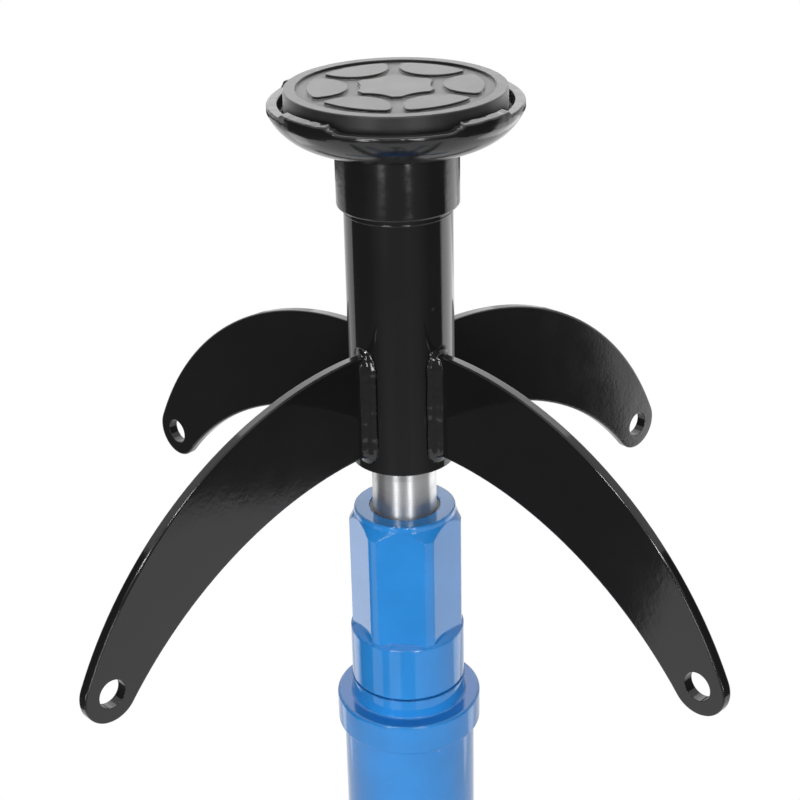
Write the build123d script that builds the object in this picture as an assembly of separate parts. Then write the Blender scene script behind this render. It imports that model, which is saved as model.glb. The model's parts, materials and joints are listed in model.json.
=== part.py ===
"""Telescopic hydraulic vehicle jack: claw-armed saddle head, two-stage ram, oil tank, foot pump and caster base.

Millimetres, +Z up, floor at Z = 0, column axis on X = Y = 0, pump pedal towards -Y.
Every solid is drawn where it stands with both stages fully lowered and the pedal up.
"""

from build123d import *
import math
import os

# Fits and clearances
RUN = 0.08                 # radial clearance of a sliding or turning fit
SNUG = 0.03                # radial clearance of a screwed or pressed fit
FREE = 0.3                 # gap between faces that pass each other
STOP_GAP = 0.5             # axial gap left at a stop

# Hexagon heads and nuts
HEX_FACE = 0.95            # radius of the turned face, as a share of the flats' radius
HEX_PAST = 1.3             # radius that the turning runs out to, past the corners, as such a share
HEX_SLOPE = 0.58           # fall of the turned corners for each unit outwards

# Rod and the head that turns on it
ROD_D = 30.0
ROD_SHOW = 27.0            # bare rod between the gland and the head tube
HEAD_BUSH_WALL = 4.0
HEAD_BUSH_LEN = 18.0
HEAD_TUBE_WALL = 5.0
HEAD_TUBE_LEN = 150.5
HEAD_PLUG_H = 16.0
HEAD_BOLT_D = 10.0
HEAD_BOLT_LEN = 34.0
HEAD_BOLT_HEAD_D = 16.0
HEAD_BOLT_HEAD_H = 8.0
HEAD_BOLT_KEY_AF = 8.0
HEAD_BOLT_KEY_DEPTH = 4.0

# Saddle dish and its rubber pad
PAD_D = 95.5
PAD_H = 15.0
PAD_EDGE = 0.8
PAD_BORDER = 5.2
TREAD_DEPTH = 1.5
PETAL_COUNT = 6
PETAL_IN_R = 20.0
PETAL_GAP = 5.0            # petal's outer edge to the border
PETAL_HALF_DEG = 26.0
PETAL_BLUNT = 3.0          # radial depth of a petal's cut corners
PETAL_BLUNT_DEG = 3.4
STAR_TIP_R = 18.2
STAR_WAIST_R = 14.8
STAR_TIP_HALF_DEG = 7.0
TREAD_TURN_DEG = 2.0       # turn of the whole tread on the dish
PAD_GAP = 2.4              # pad to the rim round it
SADDLE_RIM_W = 4.8
SADDLE_RIM_H = 9.3         # plain rim above the pad's seat
SADDLE_RIM_EDGE = 1.0
SADDLE_SKIRT_H = 3.0       # upright outer band below the plain rim
SADDLE_FLOOR = 8.0
SADDLE_LUG_H = 2.2         # raised lugs above the plain rim
SADDLE_LUG_DEG = 35.0
HUB_WALL = 3.0
HUB_H = 29.0
HUB_EDGE = 1.0

# Claw arms
ARM_T = 5.0
ARM_EDGE = 1.0
ARM_HOLE_D = 13.0
ARM_TIP_R = 13.5
ARM_REACH = 172.5          # column axis to hole centre
ARM_DROP = 104.0           # top of the root down to hole centre
ARM_ROOT_H = 49.5
ARM_ROOT_UP = 7.7          # tube's lower end up to the root
ARM_UPPER_BOW = 27.7       # bow of the upper edge off its chord
ARM_LOWER_BOW = 17.0
ARM_UPPER_END_DEG = 26.0   # where the upper edge runs into the tip circle
ARM_LOWER_END_DEG = 225.0
WELD_LEG = 4.5

# First stage: hollow ram with the hex gland on top
ROD_BUSH_WALL = 2.5
ROD_BUSH_LEN = 60.0
WIPER_W = 1.7
WIPER_H = 6.0
WIPER_SUNK = 0.8
STAGE_WALL = 4.0
STAGE_SCREWED = 58.0       # length of ram tube held in the gland
GLAND_WALL = 5.9
GLAND_BODY_CUT = 0.9       # depth of the wrench part's corners below the lower round
GLAND_FLAT_CUT = 3.4       # depth of a wrench flat below the lower round
GLAND_RING_CUT = 3.5       # depth of the top ring below the lower round
GLAND_SHELF_DEG = 34.0     # slope of the shelf between the lower round and the flats
GLAND_CLOCK_DEG = -5.0     # turn of the wrench flats on the ram
GLAND_LOWER_H = 27.6
GLAND_FLAT_H = 57.1
GLAND_CONE_H = 5.0
GLAND_RING_H = 3.0
GLAND_EDGE = 0.8
STAGE_PISTON_H = 30.0
STAGE_FLOOR_H = 14.0       # closed foot of the first stage
RAM_PISTON_H = 25.0
SEAL_H = 6.0
SEAL_DEPTH = 3.0

# Column
COLUMN_SPACE = 4.0         # radial room between first stage and column bore
COLUMN_WALL = 6.6
COLUMN_SHOW = 421.0        # base block to the flange
COLUMN_SEAT = 20.0         # depth of the tube's seat in the base block
FLANGE_OVER = 3.0
FLANGE_H = 16.0
FLANGE_EDGE = 1.2
NECK_OVER = 0.3
NECK_H = 9.8
NECK_FILLET = 1.2
SPIGOT_LEN = 30.0

# Oil tank, base block and base plate
TANK_D = 120.0
TANK_WALL = 3.0
TANK_H = 150.0
LID_T = 8.0
LID_OVER = 2.0
LID_EDGE = 2.0
BREATHER_D = 12.0
BREATHER_AF = 17.0
BREATHER_HEAD_H = 9.0
BREATHER_DEG = -45.0
BLOCK_LEDGE = 6.0
BLOCK_H = 60.0
BLOCK_EDGE = 1.5
BLOCK_FLOOR = 12.0         # metal under the pump and valve bores
NOSE_W = 50.0              # pump boss on the block's front
NOSE_WALL = 9.0
VALVE_BALL_D = 9.0
VALVE_BALL_GAP = 0.5
VALVE_PLUG_WALL = 2.0
VALVE_PLUG_H = 12.0
VALVE_KEY_AF = 6.0
VALVE_KEY_DEPTH = 6.0
VALVE_DEGREES = (-60.0, -120.0)
OIL_WAY_D = 5.0
PLATE_T = 8.0
PLATE_ROUND = 1.5
PLATE_EDGE = 19.0          # outer leg bolts to the plate's rim
BLOCK_SCREW_D = 10.0
BLOCK_SCREW_R = 48.0
BLOCK_SCREW_GRIP = 16.0
BLOCK_SCREW_HEAD_D = 16.0
BLOCK_SCREW_HEAD_H = 6.0

# Legs
LEG_W = 40.0
LEG_H = 40.0
LEG_WALL = 3.0
LEG_GAP = 2.0              # base block to a leg's inner end
LEG_PAST_STEM = 28.0
CAP_T = 4.0
CAP_DEPTH = 12.0
LEG_BOLT_D = 10.0
LEG_BOLT_AF = 17.0
LEG_BOLT_HEAD_H = 7.0
LEG_BOLT_END = 2.0         # bolt past its nut
LEG_BOLT_IN = 20.0         # leg's inner end to its first bolt
LEG_BOLT_PITCH = 28.0

# Casters
CASTER_R = 345.0           # column axis to a caster's stem
CASTER_TRAIL = 22.0
WHEEL_D = 60.0
WHEEL_W = 24.0
WHEEL_EDGE = 3.0
WHEEL_DISH = 4.0           # hollow in each side of the wheel
WHEEL_RIM = 7.0
WHEEL_HUB_D = 22.0
WHEEL_CLEAR = 5.9          # wheel top to the stem's lower head
AXLE_D = 8.0
AXLE_HEAD_D = 14.0
AXLE_HEAD_H = 5.0
FORK_T = 3.0
FORK_SIDE_GAP = 2.0
FORK_EYE_R = 12.0
FORK_BACK = 18.0           # fork plate behind the stem
FORK_FRONT = 20.0
RACE_D = 44.0
RACE_H = 4.5
STEM_D = 12.0
STEM_HEAD_D = 20.0
STEM_HEAD_H = 3.0
STEM_COLLAR_D = 26.0
STEM_COLLAR_H = 3.0
STEM_NUT_AF = 19.0
STEM_NUT_H = 10.0
STEM_END = 2.0

# Foot pump
PLUNGER_D = 18.0
PLUNGER_SHOW = 35.0        # bare plunger between barrel and cap, pedal up
PLUNGER_REST = 4.0         # plunger's foot above the chamber's floor, pedal down
CHAMBER_GAP = 1.0
BARREL_WALL = 7.0
BARREL_UP = 40.0
BARREL_SEAT = 20.0
BARREL_EDGE = 1.2
CAP_OVER = 1.2
CAP_H = 5.0
CAP_EDGE = 1.0
PUMP_STROKE = 10.5
SPRING_WIRE = 2.6
SPRING_GAP = 1.2           # plunger to the coil's inside
SPRING_TURNS = 6
SPRING_END_GAP = 0.6       # between a closed end coil and the next
PIVOT_CLEAR = 15.0         # oil tank to the pedal's pivot
PIVOT_PIN_D = 12.0
PIVOT_PIN_OVER = 4.0
PIVOT_EYE_R = 11.0
EAR_T = 6.0
EAR_W = 20.0
EAR_GAP = 2.0              # ear to pump barrel
EAR_FOOT = 6.0
LEVER_W = 24.0
LEVER_H = 18.0
NUB_R = 9.0
NUB_DROP = 8.0
KNEE_PAST = 12.0           # plunger cap to the lever's bend
LEVER_REACH = 170.0        # pivot to the middle of the foot plate
LEVER_FALL = 85.0          # pivot down to the foot plate
FOOT_W = 72.0
FOOT_L = 70.0
FOOT_T = 6.0
HEEL_PAST = 6.0            # foot plate's edge to the lever's lower bend
FOOT_CORNER = 8.0
TREAD_T = 4.0
TREAD_EDGE = 3.0
TREAD_RIBS = 5
TREAD_RIB_W = 6.0
TREAD_RIB_H = 2.0

# Release valve and its pedal
RELEASE_AHEAD = 5.0        # spindle in front of the plunger's axis
RELEASE_UP = 30.0          # base block's underside to the spindle
RELEASE_GAP = 25.0         # pump boss to the pedal's hub
SPINDLE_D = 12.0
SPINDLE_IN = 11.0
SPINDLE_END = 3.0
RELEASE_HUB_D = 24.0
RELEASE_HUB_W = 12.0
RELEASE_REACH = 82.0
RELEASE_ARM_H = 12.0
RELEASE_PAD_W = 30.0
RELEASE_PAD_L = 34.0
RELEASE_PAD_T = 5.0
RELEASE_PAD_CORNER = 5.0

# Column handle
HANDLE_D = 14.0
HANDLE_STANDOFF = 58.0     # column's skin to the grip's axis
HANDLE_H = 130.0
HANDLE_UP = 240.0          # base block to the lower root
HANDLE_BEND = 26.0

# Radii that follow
STAGE_BORE = ROD_D + 2 * ROD_BUSH_WALL
STAGE_D = STAGE_BORE + 2 * STAGE_WALL
GLAND_D = STAGE_D + 2 * GLAND_WALL
GLAND_AF = GLAND_D - 2 * GLAND_FLAT_CUT
MOUTH_R = ROD_D / 2 + WIPER_W
COLUMN_BORE = STAGE_D + 2 * COLUMN_SPACE
COLUMN_D = COLUMN_BORE + 2 * COLUMN_WALL
FLANGE_D = COLUMN_D + 2 * FLANGE_OVER
NECK_D = GLAND_D + 2 * NECK_OVER
HEAD_BORE = ROD_D + 2 * HEAD_BUSH_WALL
HEAD_TUBE_D = HEAD_BORE + 2 * HEAD_TUBE_WALL
HUB_D = HEAD_TUBE_D + 2 * HUB_WALL
RIM_IN_R = PAD_D / 2 + PAD_GAP
SADDLE_R = RIM_IN_R + SADDLE_RIM_W
BLOCK_AF = TANK_D + 2 * BLOCK_LEDGE
TANK_MID_R = (COLUMN_D / 2 + TANK_D / 2 - TANK_WALL) / 2
VALVE_BORE_D = VALVE_BALL_D + 2 * VALVE_BALL_GAP
VALVE_PLUG_D = VALVE_BORE_D + 2 * VALVE_PLUG_WALL
LEG_IN_R = BLOCK_AF / 2 + LEG_GAP
LEG_OUT_R = CASTER_R + LEG_PAST_STEM
LEG_BOLT_RADII = (LEG_IN_R + LEG_BOLT_IN, LEG_IN_R + LEG_BOLT_IN + LEG_BOLT_PITCH)
PLATE_R = LEG_BOLT_RADII[1] + PLATE_EDGE
BARREL_D = PLUNGER_D + 2 * BARREL_WALL
SPRING_R = PLUNGER_D / 2 + SPRING_GAP + SPRING_WIRE / 2
PLUNGER_CAP_D = 2 * SPRING_R + SPRING_WIRE + 2 * CAP_OVER
PLUNGER_ARM = EAR_W / 2 + EAR_GAP + BARREL_D / 2
PIVOT_Y = -TANK_D / 2 - PIVOT_CLEAR
PLUNGER_Y = PIVOT_Y - PLUNGER_ARM
LEVER_KNEE = PLUNGER_ARM + PLUNGER_CAP_D / 2 + KNEE_PAST
NOSE_FRONT = BARREL_D / 2 + NOSE_WALL - PLUNGER_Y
RELEASE_Y = PLUNGER_Y - RELEASE_AHEAD
FORK_IN = WHEEL_W / 2 + FORK_SIDE_GAP
FORK_OUT = FORK_IN + FORK_T
RELEASE_X = NOSE_W / 2 + RELEASE_GAP
RAM_PISTON_R = STAGE_BORE / 2 - RUN
STAGE_PISTON_R = COLUMN_BORE / 2 - RUN

# Heights that follow
AXLE_Z = WHEEL_D / 2
STEM_FOOT = WHEEL_D + WHEEL_CLEAR
FORK_PLATE_Z = STEM_FOOT + STEM_HEAD_H + FREE
RACE_Z = FORK_PLATE_Z + FORK_T
COLLAR_Z = RACE_Z + RACE_H + FREE
LEG_Z = COLLAR_Z + STEM_COLLAR_H
LEG_TOP = LEG_Z + LEG_H
PLATE_Z = LEG_Z - PLATE_T
BLOCK_TOP = LEG_Z + BLOCK_H
CHAMBER_Z = LEG_Z + BLOCK_FLOOR
COLUMN_FOOT = BLOCK_TOP - COLUMN_SEAT
COLUMN_TOP = BLOCK_TOP + COLUMN_SHOW
SPIGOT_FOOT = COLUMN_TOP - SPIGOT_LEN
FLANGE_TOP = COLUMN_TOP + FLANGE_H
NECK_TOP = FLANGE_TOP + NECK_H
TANK_TOP = BLOCK_TOP + TANK_H
LID_TOP = TANK_TOP + LID_T
GLAND_FOOT = NECK_TOP + STOP_GAP
FLAT_FOOT = GLAND_FOOT + GLAND_LOWER_H
FLAT_TOP = FLAT_FOOT + GLAND_FLAT_H
CONE_TOP = FLAT_TOP + GLAND_CONE_H
GLAND_TOP = CONE_TOP + GLAND_RING_H
ROD_BUSH_TOP = GLAND_TOP - WIPER_SUNK - WIPER_H
ROD_BUSH_FOOT = ROD_BUSH_TOP - ROD_BUSH_LEN
STAGE_TUBE_TOP = GLAND_FOOT + STAGE_SCREWED
STAGE_PISTON_FOOT = COLUMN_FOOT + STOP_GAP
STAGE_PISTON_TOP = STAGE_PISTON_FOOT + STAGE_PISTON_H
STAGE_FLOOR_TOP = STAGE_PISTON_FOOT + STAGE_FLOOR_H
RAM_PISTON_FOOT = STAGE_FLOOR_TOP + STOP_GAP
RAM_PISTON_TOP = RAM_PISTON_FOOT + RAM_PISTON_H
RAM_SEAL_Z = (RAM_PISTON_FOOT + RAM_PISTON_TOP) / 2
STAGE_SEAL_Z = (STAGE_PISTON_FOOT + STAGE_FLOOR_TOP) / 2
STAGE_STROKE = SPIGOT_FOOT - STAGE_PISTON_TOP - STOP_GAP
RAM_STROKE = ROD_BUSH_FOOT - RAM_PISTON_TOP - STOP_GAP
HEAD_FOOT = GLAND_TOP + ROD_SHOW
HEAD_TOP = HEAD_FOOT + HEAD_TUBE_LEN
ROD_TOP = HEAD_TOP - HEAD_PLUG_H
BOLT_TOP = HEAD_TOP - FREE
BOLT_SEAT = BOLT_TOP - HEAD_BOLT_HEAD_H
BOLT_TIP = BOLT_TOP - HEAD_BOLT_LEN
HUB_FOOT = HEAD_TOP - HUB_H
PAD_SEAT = HEAD_TOP + SADDLE_FLOOR
PAD_TOP = PAD_SEAT + PAD_H
RIM_TOP = PAD_SEAT + SADDLE_RIM_H
ARM_FOOT = HEAD_FOOT + ARM_ROOT_UP
ARM_TOP = ARM_FOOT + ARM_ROOT_H
BARREL_TOP = BLOCK_TOP + BARREL_UP
CAP_FOOT = BARREL_TOP + PLUNGER_SHOW
CAP_TOP = CAP_FOOT + CAP_H
PIVOT_Z = CAP_TOP + FREE + NUB_R + NUB_DROP
FOOT_Z = PIVOT_Z - LEVER_FALL + LEVER_H / 2
RELEASE_Z = LEG_Z + RELEASE_UP
HANDLE_Z = BLOCK_TOP + HANDLE_UP

CORNERS = {"rear_right": 45.0, "rear_left": 135.0, "front_left": 225.0, "front_right": 315.0}


# Helpers

def cyl(r, z0, z1, x=0.0, y=0.0):
    """Upright cylinder between two heights."""
    return Pos(x, y, (z0 + z1) / 2) * Cylinder(r, z1 - z0)


def ring(r_out, r_in, z0, z1):
    """Upright tube round the column axis."""
    return cyl(r_out, z0, z1) - cyl(r_in, z0, z1)


def box(x0, x1, y0, y1, z0, z1):
    """Box between two corners."""
    return Pos((x0 + x1) / 2, (y0 + y1) / 2, (z0 + z1) / 2) * Box(x1 - x0, y1 - y0, z1 - z0)


def cross_cyl(r, x0, x1, y, z):
    """Cylinder along X."""
    return Pos((x0 + x1) / 2, y, z) * Rot(0, 90, 0) * Cylinder(r, x1 - x0)


def hex_prism(across_flats, z0, z1, x=0.0, y=0.0):
    """Upright hexagon prism with a flat towards -Y."""
    face = RegularPolygon(across_flats / 2, 6, major_radius=False, rotation=0)
    return extrude(Pos(x, y, z0) * face, z1 - z0)


def hex_head(across_flats, z0, z1, x=0.0, y=0.0):
    """Hexagon head or nut with its upper corners turned off."""
    face_r = HEX_FACE * across_flats / 2
    past_r = HEX_PAST * across_flats / 2
    turned = revolved([(0, z0), (past_r, z0), (past_r, z1 - (past_r - face_r) * HEX_SLOPE), (face_r, z1), (0, z1)])
    return hex_prism(across_flats, z0, z1, x, y) & Pos(x, y, 0) * turned


def polar(radius, degrees):
    """Plane point at a radius and an angle."""
    return radius * math.cos(math.radians(degrees)), radius * math.sin(math.radians(degrees))


def shifted(point, offset):
    """Sum of two plane points."""
    return point[0] + offset[0], point[1] + offset[1]


def upright_face(edges):
    """Face in the XZ plane from edges drawn as (radius, height)."""
    return make_face([Plane.XZ * edge for edge in edges])


def eased(corners):
    """Edges of a closed outline of (x, y) or (x, y, rounding) corners."""
    bends = []
    for i, (x, y, *rounding) in enumerate(corners):
        here = Vector(x, y)
        back = (Vector(*corners[i - 1][:2]) - here).normalized()
        ahead = (Vector(*corners[(i + 1) % len(corners)][:2]) - here).normalized()
        half = math.acos(back.dot(ahead)) / 2
        r = sum(rounding)
        reach = r / math.tan(half)
        middle = here + (back + ahead).normalized() * (r / math.sin(half) - r)
        bends.append((here + back * reach, middle, here + ahead * reach))
    edges = [ThreePointArc(*bend) for bend, corner in zip(bends, corners) if len(corner) == 3]
    return edges + [Line(bend[2], following[0]) for bend, following in zip(bends, bends[1:] + bends[:1])]


def revolved(corners):
    """Solid of revolution about Z from (radius, height) or (radius, height, rounding) corners."""
    return revolve(upright_face(eased(corners)), Axis.Z)


def bow(start, end, rise):
    """Arc from start to end, bowed by rise to the left of the way it runs."""
    run = (end[0] - start[0], end[1] - start[1])
    length = math.hypot(*run)
    middle = ((start[0] + end[0]) / 2 - run[1] / length * rise, (start[1] + end[1]) / 2 + run[0] / length * rise)
    return ThreePointArc(start, middle, end)


def at_corners(solid):
    """Copies of a solid drawn along +X, one on each diagonal."""
    return [Rot(0, 0, degrees) * solid for degrees in CORNERS.values()]


# Head

def tread_star():
    """Six-pointed tread block with hollow sides and blunt points."""
    step = 360 / PETAL_COUNT
    edges = []
    for i in range(PETAL_COUNT):
        tip = step * (i + 0.5) + TREAD_TURN_DEG
        start = polar(STAR_TIP_R, tip - STAR_TIP_HALF_DEG)
        end = polar(STAR_TIP_R, tip + STAR_TIP_HALF_DEG)
        following = polar(STAR_TIP_R, tip + step - STAR_TIP_HALF_DEG)
        edges.append(ThreePointArc(start, polar(STAR_TIP_R, tip), end))
        edges.append(ThreePointArc(end, polar(STAR_WAIST_R, tip + step / 2), following))
    return make_face(edges)


def tread_petal(degrees):
    """Tread block with a bowed inner edge, cut corners and an outer edge that follows the border."""
    out_r = PAD_D / 2 - PAD_BORDER - PETAL_GAP
    corner_r = out_r - PETAL_BLUNT
    outer_half = PETAL_HALF_DEG - PETAL_BLUNT_DEG
    start = polar(out_r, -outer_half)
    end = polar(out_r, outer_half)
    last = polar(corner_r, PETAL_HALF_DEG)
    first = polar(corner_r, -PETAL_HALF_DEG)
    outer = ThreePointArc(start, (out_r, 0), end)
    inner = ThreePointArc(last, (PETAL_IN_R, 0), first)
    return Rot(0, 0, degrees) * make_face([outer, Line(end, last), inner, Line(first, start)])


def saddle_pad():
    """Round rubber pad with a raised border and tread."""
    pad = cyl(PAD_D / 2, PAD_SEAT, PAD_TOP)
    pad = chamfer(pad.edges().group_by(Axis.Z)[-1], PAD_EDGE)
    tread_floor = PAD_TOP - TREAD_DEPTH
    pad -= cyl(PAD_D / 2 - PAD_BORDER, tread_floor, PAD_TOP)
    for i in range(PETAL_COUNT):
        petal = tread_petal(i * 360 / PETAL_COUNT + TREAD_TURN_DEG)
        pad += extrude(Pos(0, 0, tread_floor) * petal, TREAD_DEPTH)
    return pad + extrude(Pos(0, 0, tread_floor) * tread_star(), TREAD_DEPTH)


def saddle_dish():
    """Dish with a rounded underside, four rim lugs and a socket that caps the head tube."""
    hub_r = HUB_D / 2
    shoulder = (SADDLE_R, RIM_TOP - SADDLE_SKIRT_H)
    foot = (hub_r, HEAD_TOP)
    half_turn = math.sqrt(0.5)
    belly = (foot[0] + (shoulder[0] - foot[0]) * half_turn, shoulder[1] - (shoulder[1] - foot[1]) * half_turn)
    rim_edge = (SADDLE_R - SADDLE_RIM_EDGE, RIM_TOP)
    rim_side = (SADDLE_R, RIM_TOP - SADDLE_RIM_EDGE)
    dish = revolve(upright_face([
        Line((0, PAD_SEAT), (RIM_IN_R, PAD_SEAT)),
        Line((RIM_IN_R, PAD_SEAT), (RIM_IN_R, RIM_TOP)),
        Line((RIM_IN_R, RIM_TOP), rim_edge),
        Line(rim_edge, rim_side),
        Line(rim_side, shoulder),
        ThreePointArc(shoulder, belly, foot),
        Line(foot, (0, HEAD_TOP)),
        Line((0, HEAD_TOP), (0, PAD_SEAT)),
    ]), Axis.Z)
    dish += revolved([(HEAD_TUBE_D / 2 + SNUG, HUB_FOOT), (hub_r, HUB_FOOT, HUB_EDGE), (hub_r, HEAD_TOP),
                      (HEAD_TUBE_D / 2 + SNUG, HEAD_TOP)])
    lug_ring = ring(SADDLE_R - SADDLE_RIM_EDGE, RIM_IN_R, RIM_TOP, RIM_TOP + SADDLE_LUG_H)
    half = SADDLE_LUG_DEG / 2
    wedge = make_face(Polyline((0, 0), polar(2 * SADDLE_R, -half), polar(2 * SADDLE_R, half), close=True))
    for degrees in CORNERS.values():
        dish += lug_ring & extrude(Pos(0, 0, RIM_TOP) * Rot(0, 0, degrees) * wedge, SADDLE_LUG_H)
    return dish


def head_tube():
    """Sleeve that carries the arms and turns on the rod."""
    return ring(HEAD_TUBE_D / 2, HEAD_BORE / 2, HEAD_FOOT, HEAD_TOP)


def head_bush():
    """Bush in the sleeve's lower end, running on the rod."""
    return ring(HEAD_BORE / 2 - SNUG, ROD_D / 2 + RUN, HEAD_FOOT, HEAD_FOOT + HEAD_BUSH_LEN)


def head_plug():
    """End plug that rests on the rod and is held down by the head bolt."""
    plug = cyl(HEAD_BORE / 2 - SNUG, ROD_TOP, HEAD_TOP)
    plug -= cyl(HEAD_BOLT_D / 2 + RUN, ROD_TOP, HEAD_TOP)
    return plug - cyl(HEAD_BOLT_HEAD_D / 2 + FREE, BOLT_SEAT - FREE, HEAD_TOP)


def head_bolt():
    """Socket screw in the rod's top end."""
    bolt = cyl(HEAD_BOLT_HEAD_D / 2, BOLT_SEAT, BOLT_TOP) + cyl(HEAD_BOLT_D / 2, BOLT_TIP, BOLT_SEAT)
    return bolt - hex_prism(HEAD_BOLT_KEY_AF, BOLT_TOP - HEAD_BOLT_KEY_DEPTH, BOLT_TOP)


def arm(degrees):
    """Curved plate claw with a round eye, cut to the sleeve at its root."""
    root_r = HEAD_TUBE_D / 2
    inside = HEAD_BORE / 2
    eye = (ARM_REACH, ARM_TOP - ARM_DROP)
    upper_end = shifted(eye, polar(ARM_TIP_R, ARM_UPPER_END_DEG))
    lower_end = shifted(eye, polar(ARM_TIP_R, ARM_LOWER_END_DEG))
    tip = shifted(eye, polar(ARM_TIP_R, (ARM_UPPER_END_DEG + ARM_LOWER_END_DEG - 360) / 2))
    outline = make_face([
        Line((inside, ARM_TOP), (root_r, ARM_TOP)),
        bow((root_r, ARM_TOP), upper_end, ARM_UPPER_BOW),
        ThreePointArc(upper_end, tip, lower_end),
        bow(lower_end, (root_r, ARM_FOOT), -ARM_LOWER_BOW),
        Line((root_r, ARM_FOOT), (inside, ARM_FOOT)),
        Line((inside, ARM_FOOT), (inside, ARM_TOP)),
    ])
    plate = extrude(Plane.XZ * outline, ARM_T / 2, both=True)
    rims = [edge for edge in plate.edges() if edge.geom_type == GeomType.CIRCLE]
    plate = fillet(rims, ARM_EDGE)
    plate -= Pos(eye[0], 0, eye[1]) * Rot(90, 0, 0) * Cylinder(ARM_HOLE_D / 2, 2 * ARM_T)
    plate -= cyl(root_r, ARM_FOOT - ARM_T, ARM_TOP + ARM_T)
    return Rot(0, 0, degrees) * plate


def arm_welds():
    """Fillet beads down both sides of every arm root."""
    root_r = HEAD_TUBE_D / 2
    half = ARM_T / 2
    beads = []
    for side in (-1, 1):
        corner = (root_r - WELD_LEG, side * half)
        along_arm = (root_r + WELD_LEG, side * half)
        along_tube = (root_r - WELD_LEG, side * (half + 2 * WELD_LEG))
        face = make_face(Polyline(corner, along_arm, along_tube, close=True))
        bead = extrude(Pos(0, 0, ARM_FOOT) * face, ARM_ROOT_H)
        beads += at_corners(bead - cyl(root_r, HEAD_FOOT, HEAD_TOP))
    return beads


# Ram and first stage

def ram_rod():
    """Chromed second-stage rod, drilled at the top for the head bolt."""
    return cyl(ROD_D / 2, RAM_PISTON_TOP, ROD_TOP) - cyl(HEAD_BOLT_D / 2 + SNUG, BOLT_TIP - FREE, ROD_TOP)


def grooved(piston, r, z_mid):
    """Piston with a seal groove cut round it."""
    return piston - ring(r + SEAL_DEPTH, r - SEAL_DEPTH, z_mid - SEAL_H / 2, z_mid + SEAL_H / 2)


def seal(r, z_mid):
    """Seal ring that fills a piston's groove."""
    return ring(r, r - SEAL_DEPTH + SNUG, z_mid - SEAL_H / 2 + SNUG, z_mid + SEAL_H / 2 - SNUG)


def ram_piston():
    """Piston on the foot of the rod, in the first stage's bore."""
    return grooved(cyl(RAM_PISTON_R, RAM_PISTON_FOOT, RAM_PISTON_TOP), RAM_PISTON_R, RAM_SEAL_Z)


def stage_piston():
    """Piston that closes the first stage's foot and runs in the column."""
    piston = cyl(STAGE_PISTON_R, STAGE_PISTON_FOOT, STAGE_PISTON_TOP)
    piston -= cyl(STAGE_D / 2 + SNUG, STAGE_FLOOR_TOP, STAGE_PISTON_TOP)
    piston -= cyl(OIL_WAY_D / 2, STAGE_PISTON_FOOT, STAGE_FLOOR_TOP)
    return grooved(piston, STAGE_PISTON_R, STAGE_SEAL_Z)


def stage_tube():
    """Chromed hollow ram of the first stage."""
    return ring(STAGE_D / 2, STAGE_BORE / 2, STAGE_FLOOR_TOP, STAGE_TUBE_TOP)


def hex_gland():
    """Head of the first stage: plain round, sloped shelf, six wrench flats and a ring round the rod's mouth."""
    r = GLAND_D / 2
    body_r = r - GLAND_BODY_CUT
    ring_r = r - GLAND_RING_CUT
    shelf_top = FLAT_FOOT + GLAND_WALL * math.tan(math.radians(GLAND_SHELF_DEG))
    gland = revolved([(0, GLAND_FOOT), (r, GLAND_FOOT, GLAND_EDGE), (r, FLAT_FOOT, GLAND_EDGE), (STAGE_D / 2, shelf_top),
                      (0, shelf_top)])
    wrench = revolved([(0, FLAT_FOOT), (body_r, FLAT_FOOT), (body_r, FLAT_TOP), (ring_r, CONE_TOP), (0, CONE_TOP)])
    gland += wrench & Rot(0, 0, GLAND_CLOCK_DEG) * hex_prism(GLAND_AF, FLAT_FOOT, CONE_TOP)
    gland += revolved([(0, CONE_TOP), (ring_r, CONE_TOP), (ring_r, GLAND_TOP, GLAND_EDGE), (0, GLAND_TOP)])
    gland -= cyl(STAGE_D / 2 + SNUG, GLAND_FOOT, STAGE_TUBE_TOP)
    gland -= cyl(STAGE_BORE / 2, STAGE_TUBE_TOP, ROD_BUSH_TOP)
    return gland - cyl(MOUTH_R, ROD_BUSH_TOP, GLAND_TOP)


def rod_bush():
    """Guide bush of the rod, in the gland and the top of the first stage."""
    return ring(STAGE_BORE / 2 - SNUG, ROD_D / 2 + RUN, ROD_BUSH_FOOT, ROD_BUSH_TOP)


def rod_wiper():
    """Wiper ring in the gland's mouth."""
    return ring(MOUTH_R - SNUG, ROD_D / 2 + RUN, ROD_BUSH_TOP, ROD_BUSH_TOP + WIPER_H)


# Column and tank

def column_tube():
    """Outer cylinder of the column."""
    return ring(COLUMN_D / 2, COLUMN_BORE / 2, COLUMN_FOOT, COLUMN_TOP)


def column_head():
    """Flanged head of the column: neck under the gland, spigot in the tube."""
    spigot_r = COLUMN_BORE / 2 - SNUG
    flange_r = FLANGE_D / 2
    neck_r = NECK_D / 2
    head = revolved([
        (0, SPIGOT_FOOT), (spigot_r, SPIGOT_FOOT), (spigot_r, COLUMN_TOP), (flange_r, COLUMN_TOP, FLANGE_EDGE),
        (flange_r, FLANGE_TOP, FLANGE_EDGE), (neck_r, FLANGE_TOP, NECK_FILLET), (neck_r, NECK_TOP), (0, NECK_TOP),
    ])
    head -= cyl(STAGE_D / 2 + RUN, SPIGOT_FOOT, NECK_TOP)
    return head - cyl(STAGE_D / 2 + SEAL_DEPTH, NECK_TOP - SEAL_H, NECK_TOP)


def column_wiper():
    """Wiper ring in the column head, running on the first stage."""
    return ring(STAGE_D / 2 + SEAL_DEPTH - SNUG, STAGE_D / 2 + RUN, NECK_TOP - SEAL_H, NECK_TOP)


def tank_shell():
    """Oil tank wall round the foot of the column."""
    return ring(TANK_D / 2, TANK_D / 2 - TANK_WALL, BLOCK_TOP, TANK_TOP)


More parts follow.
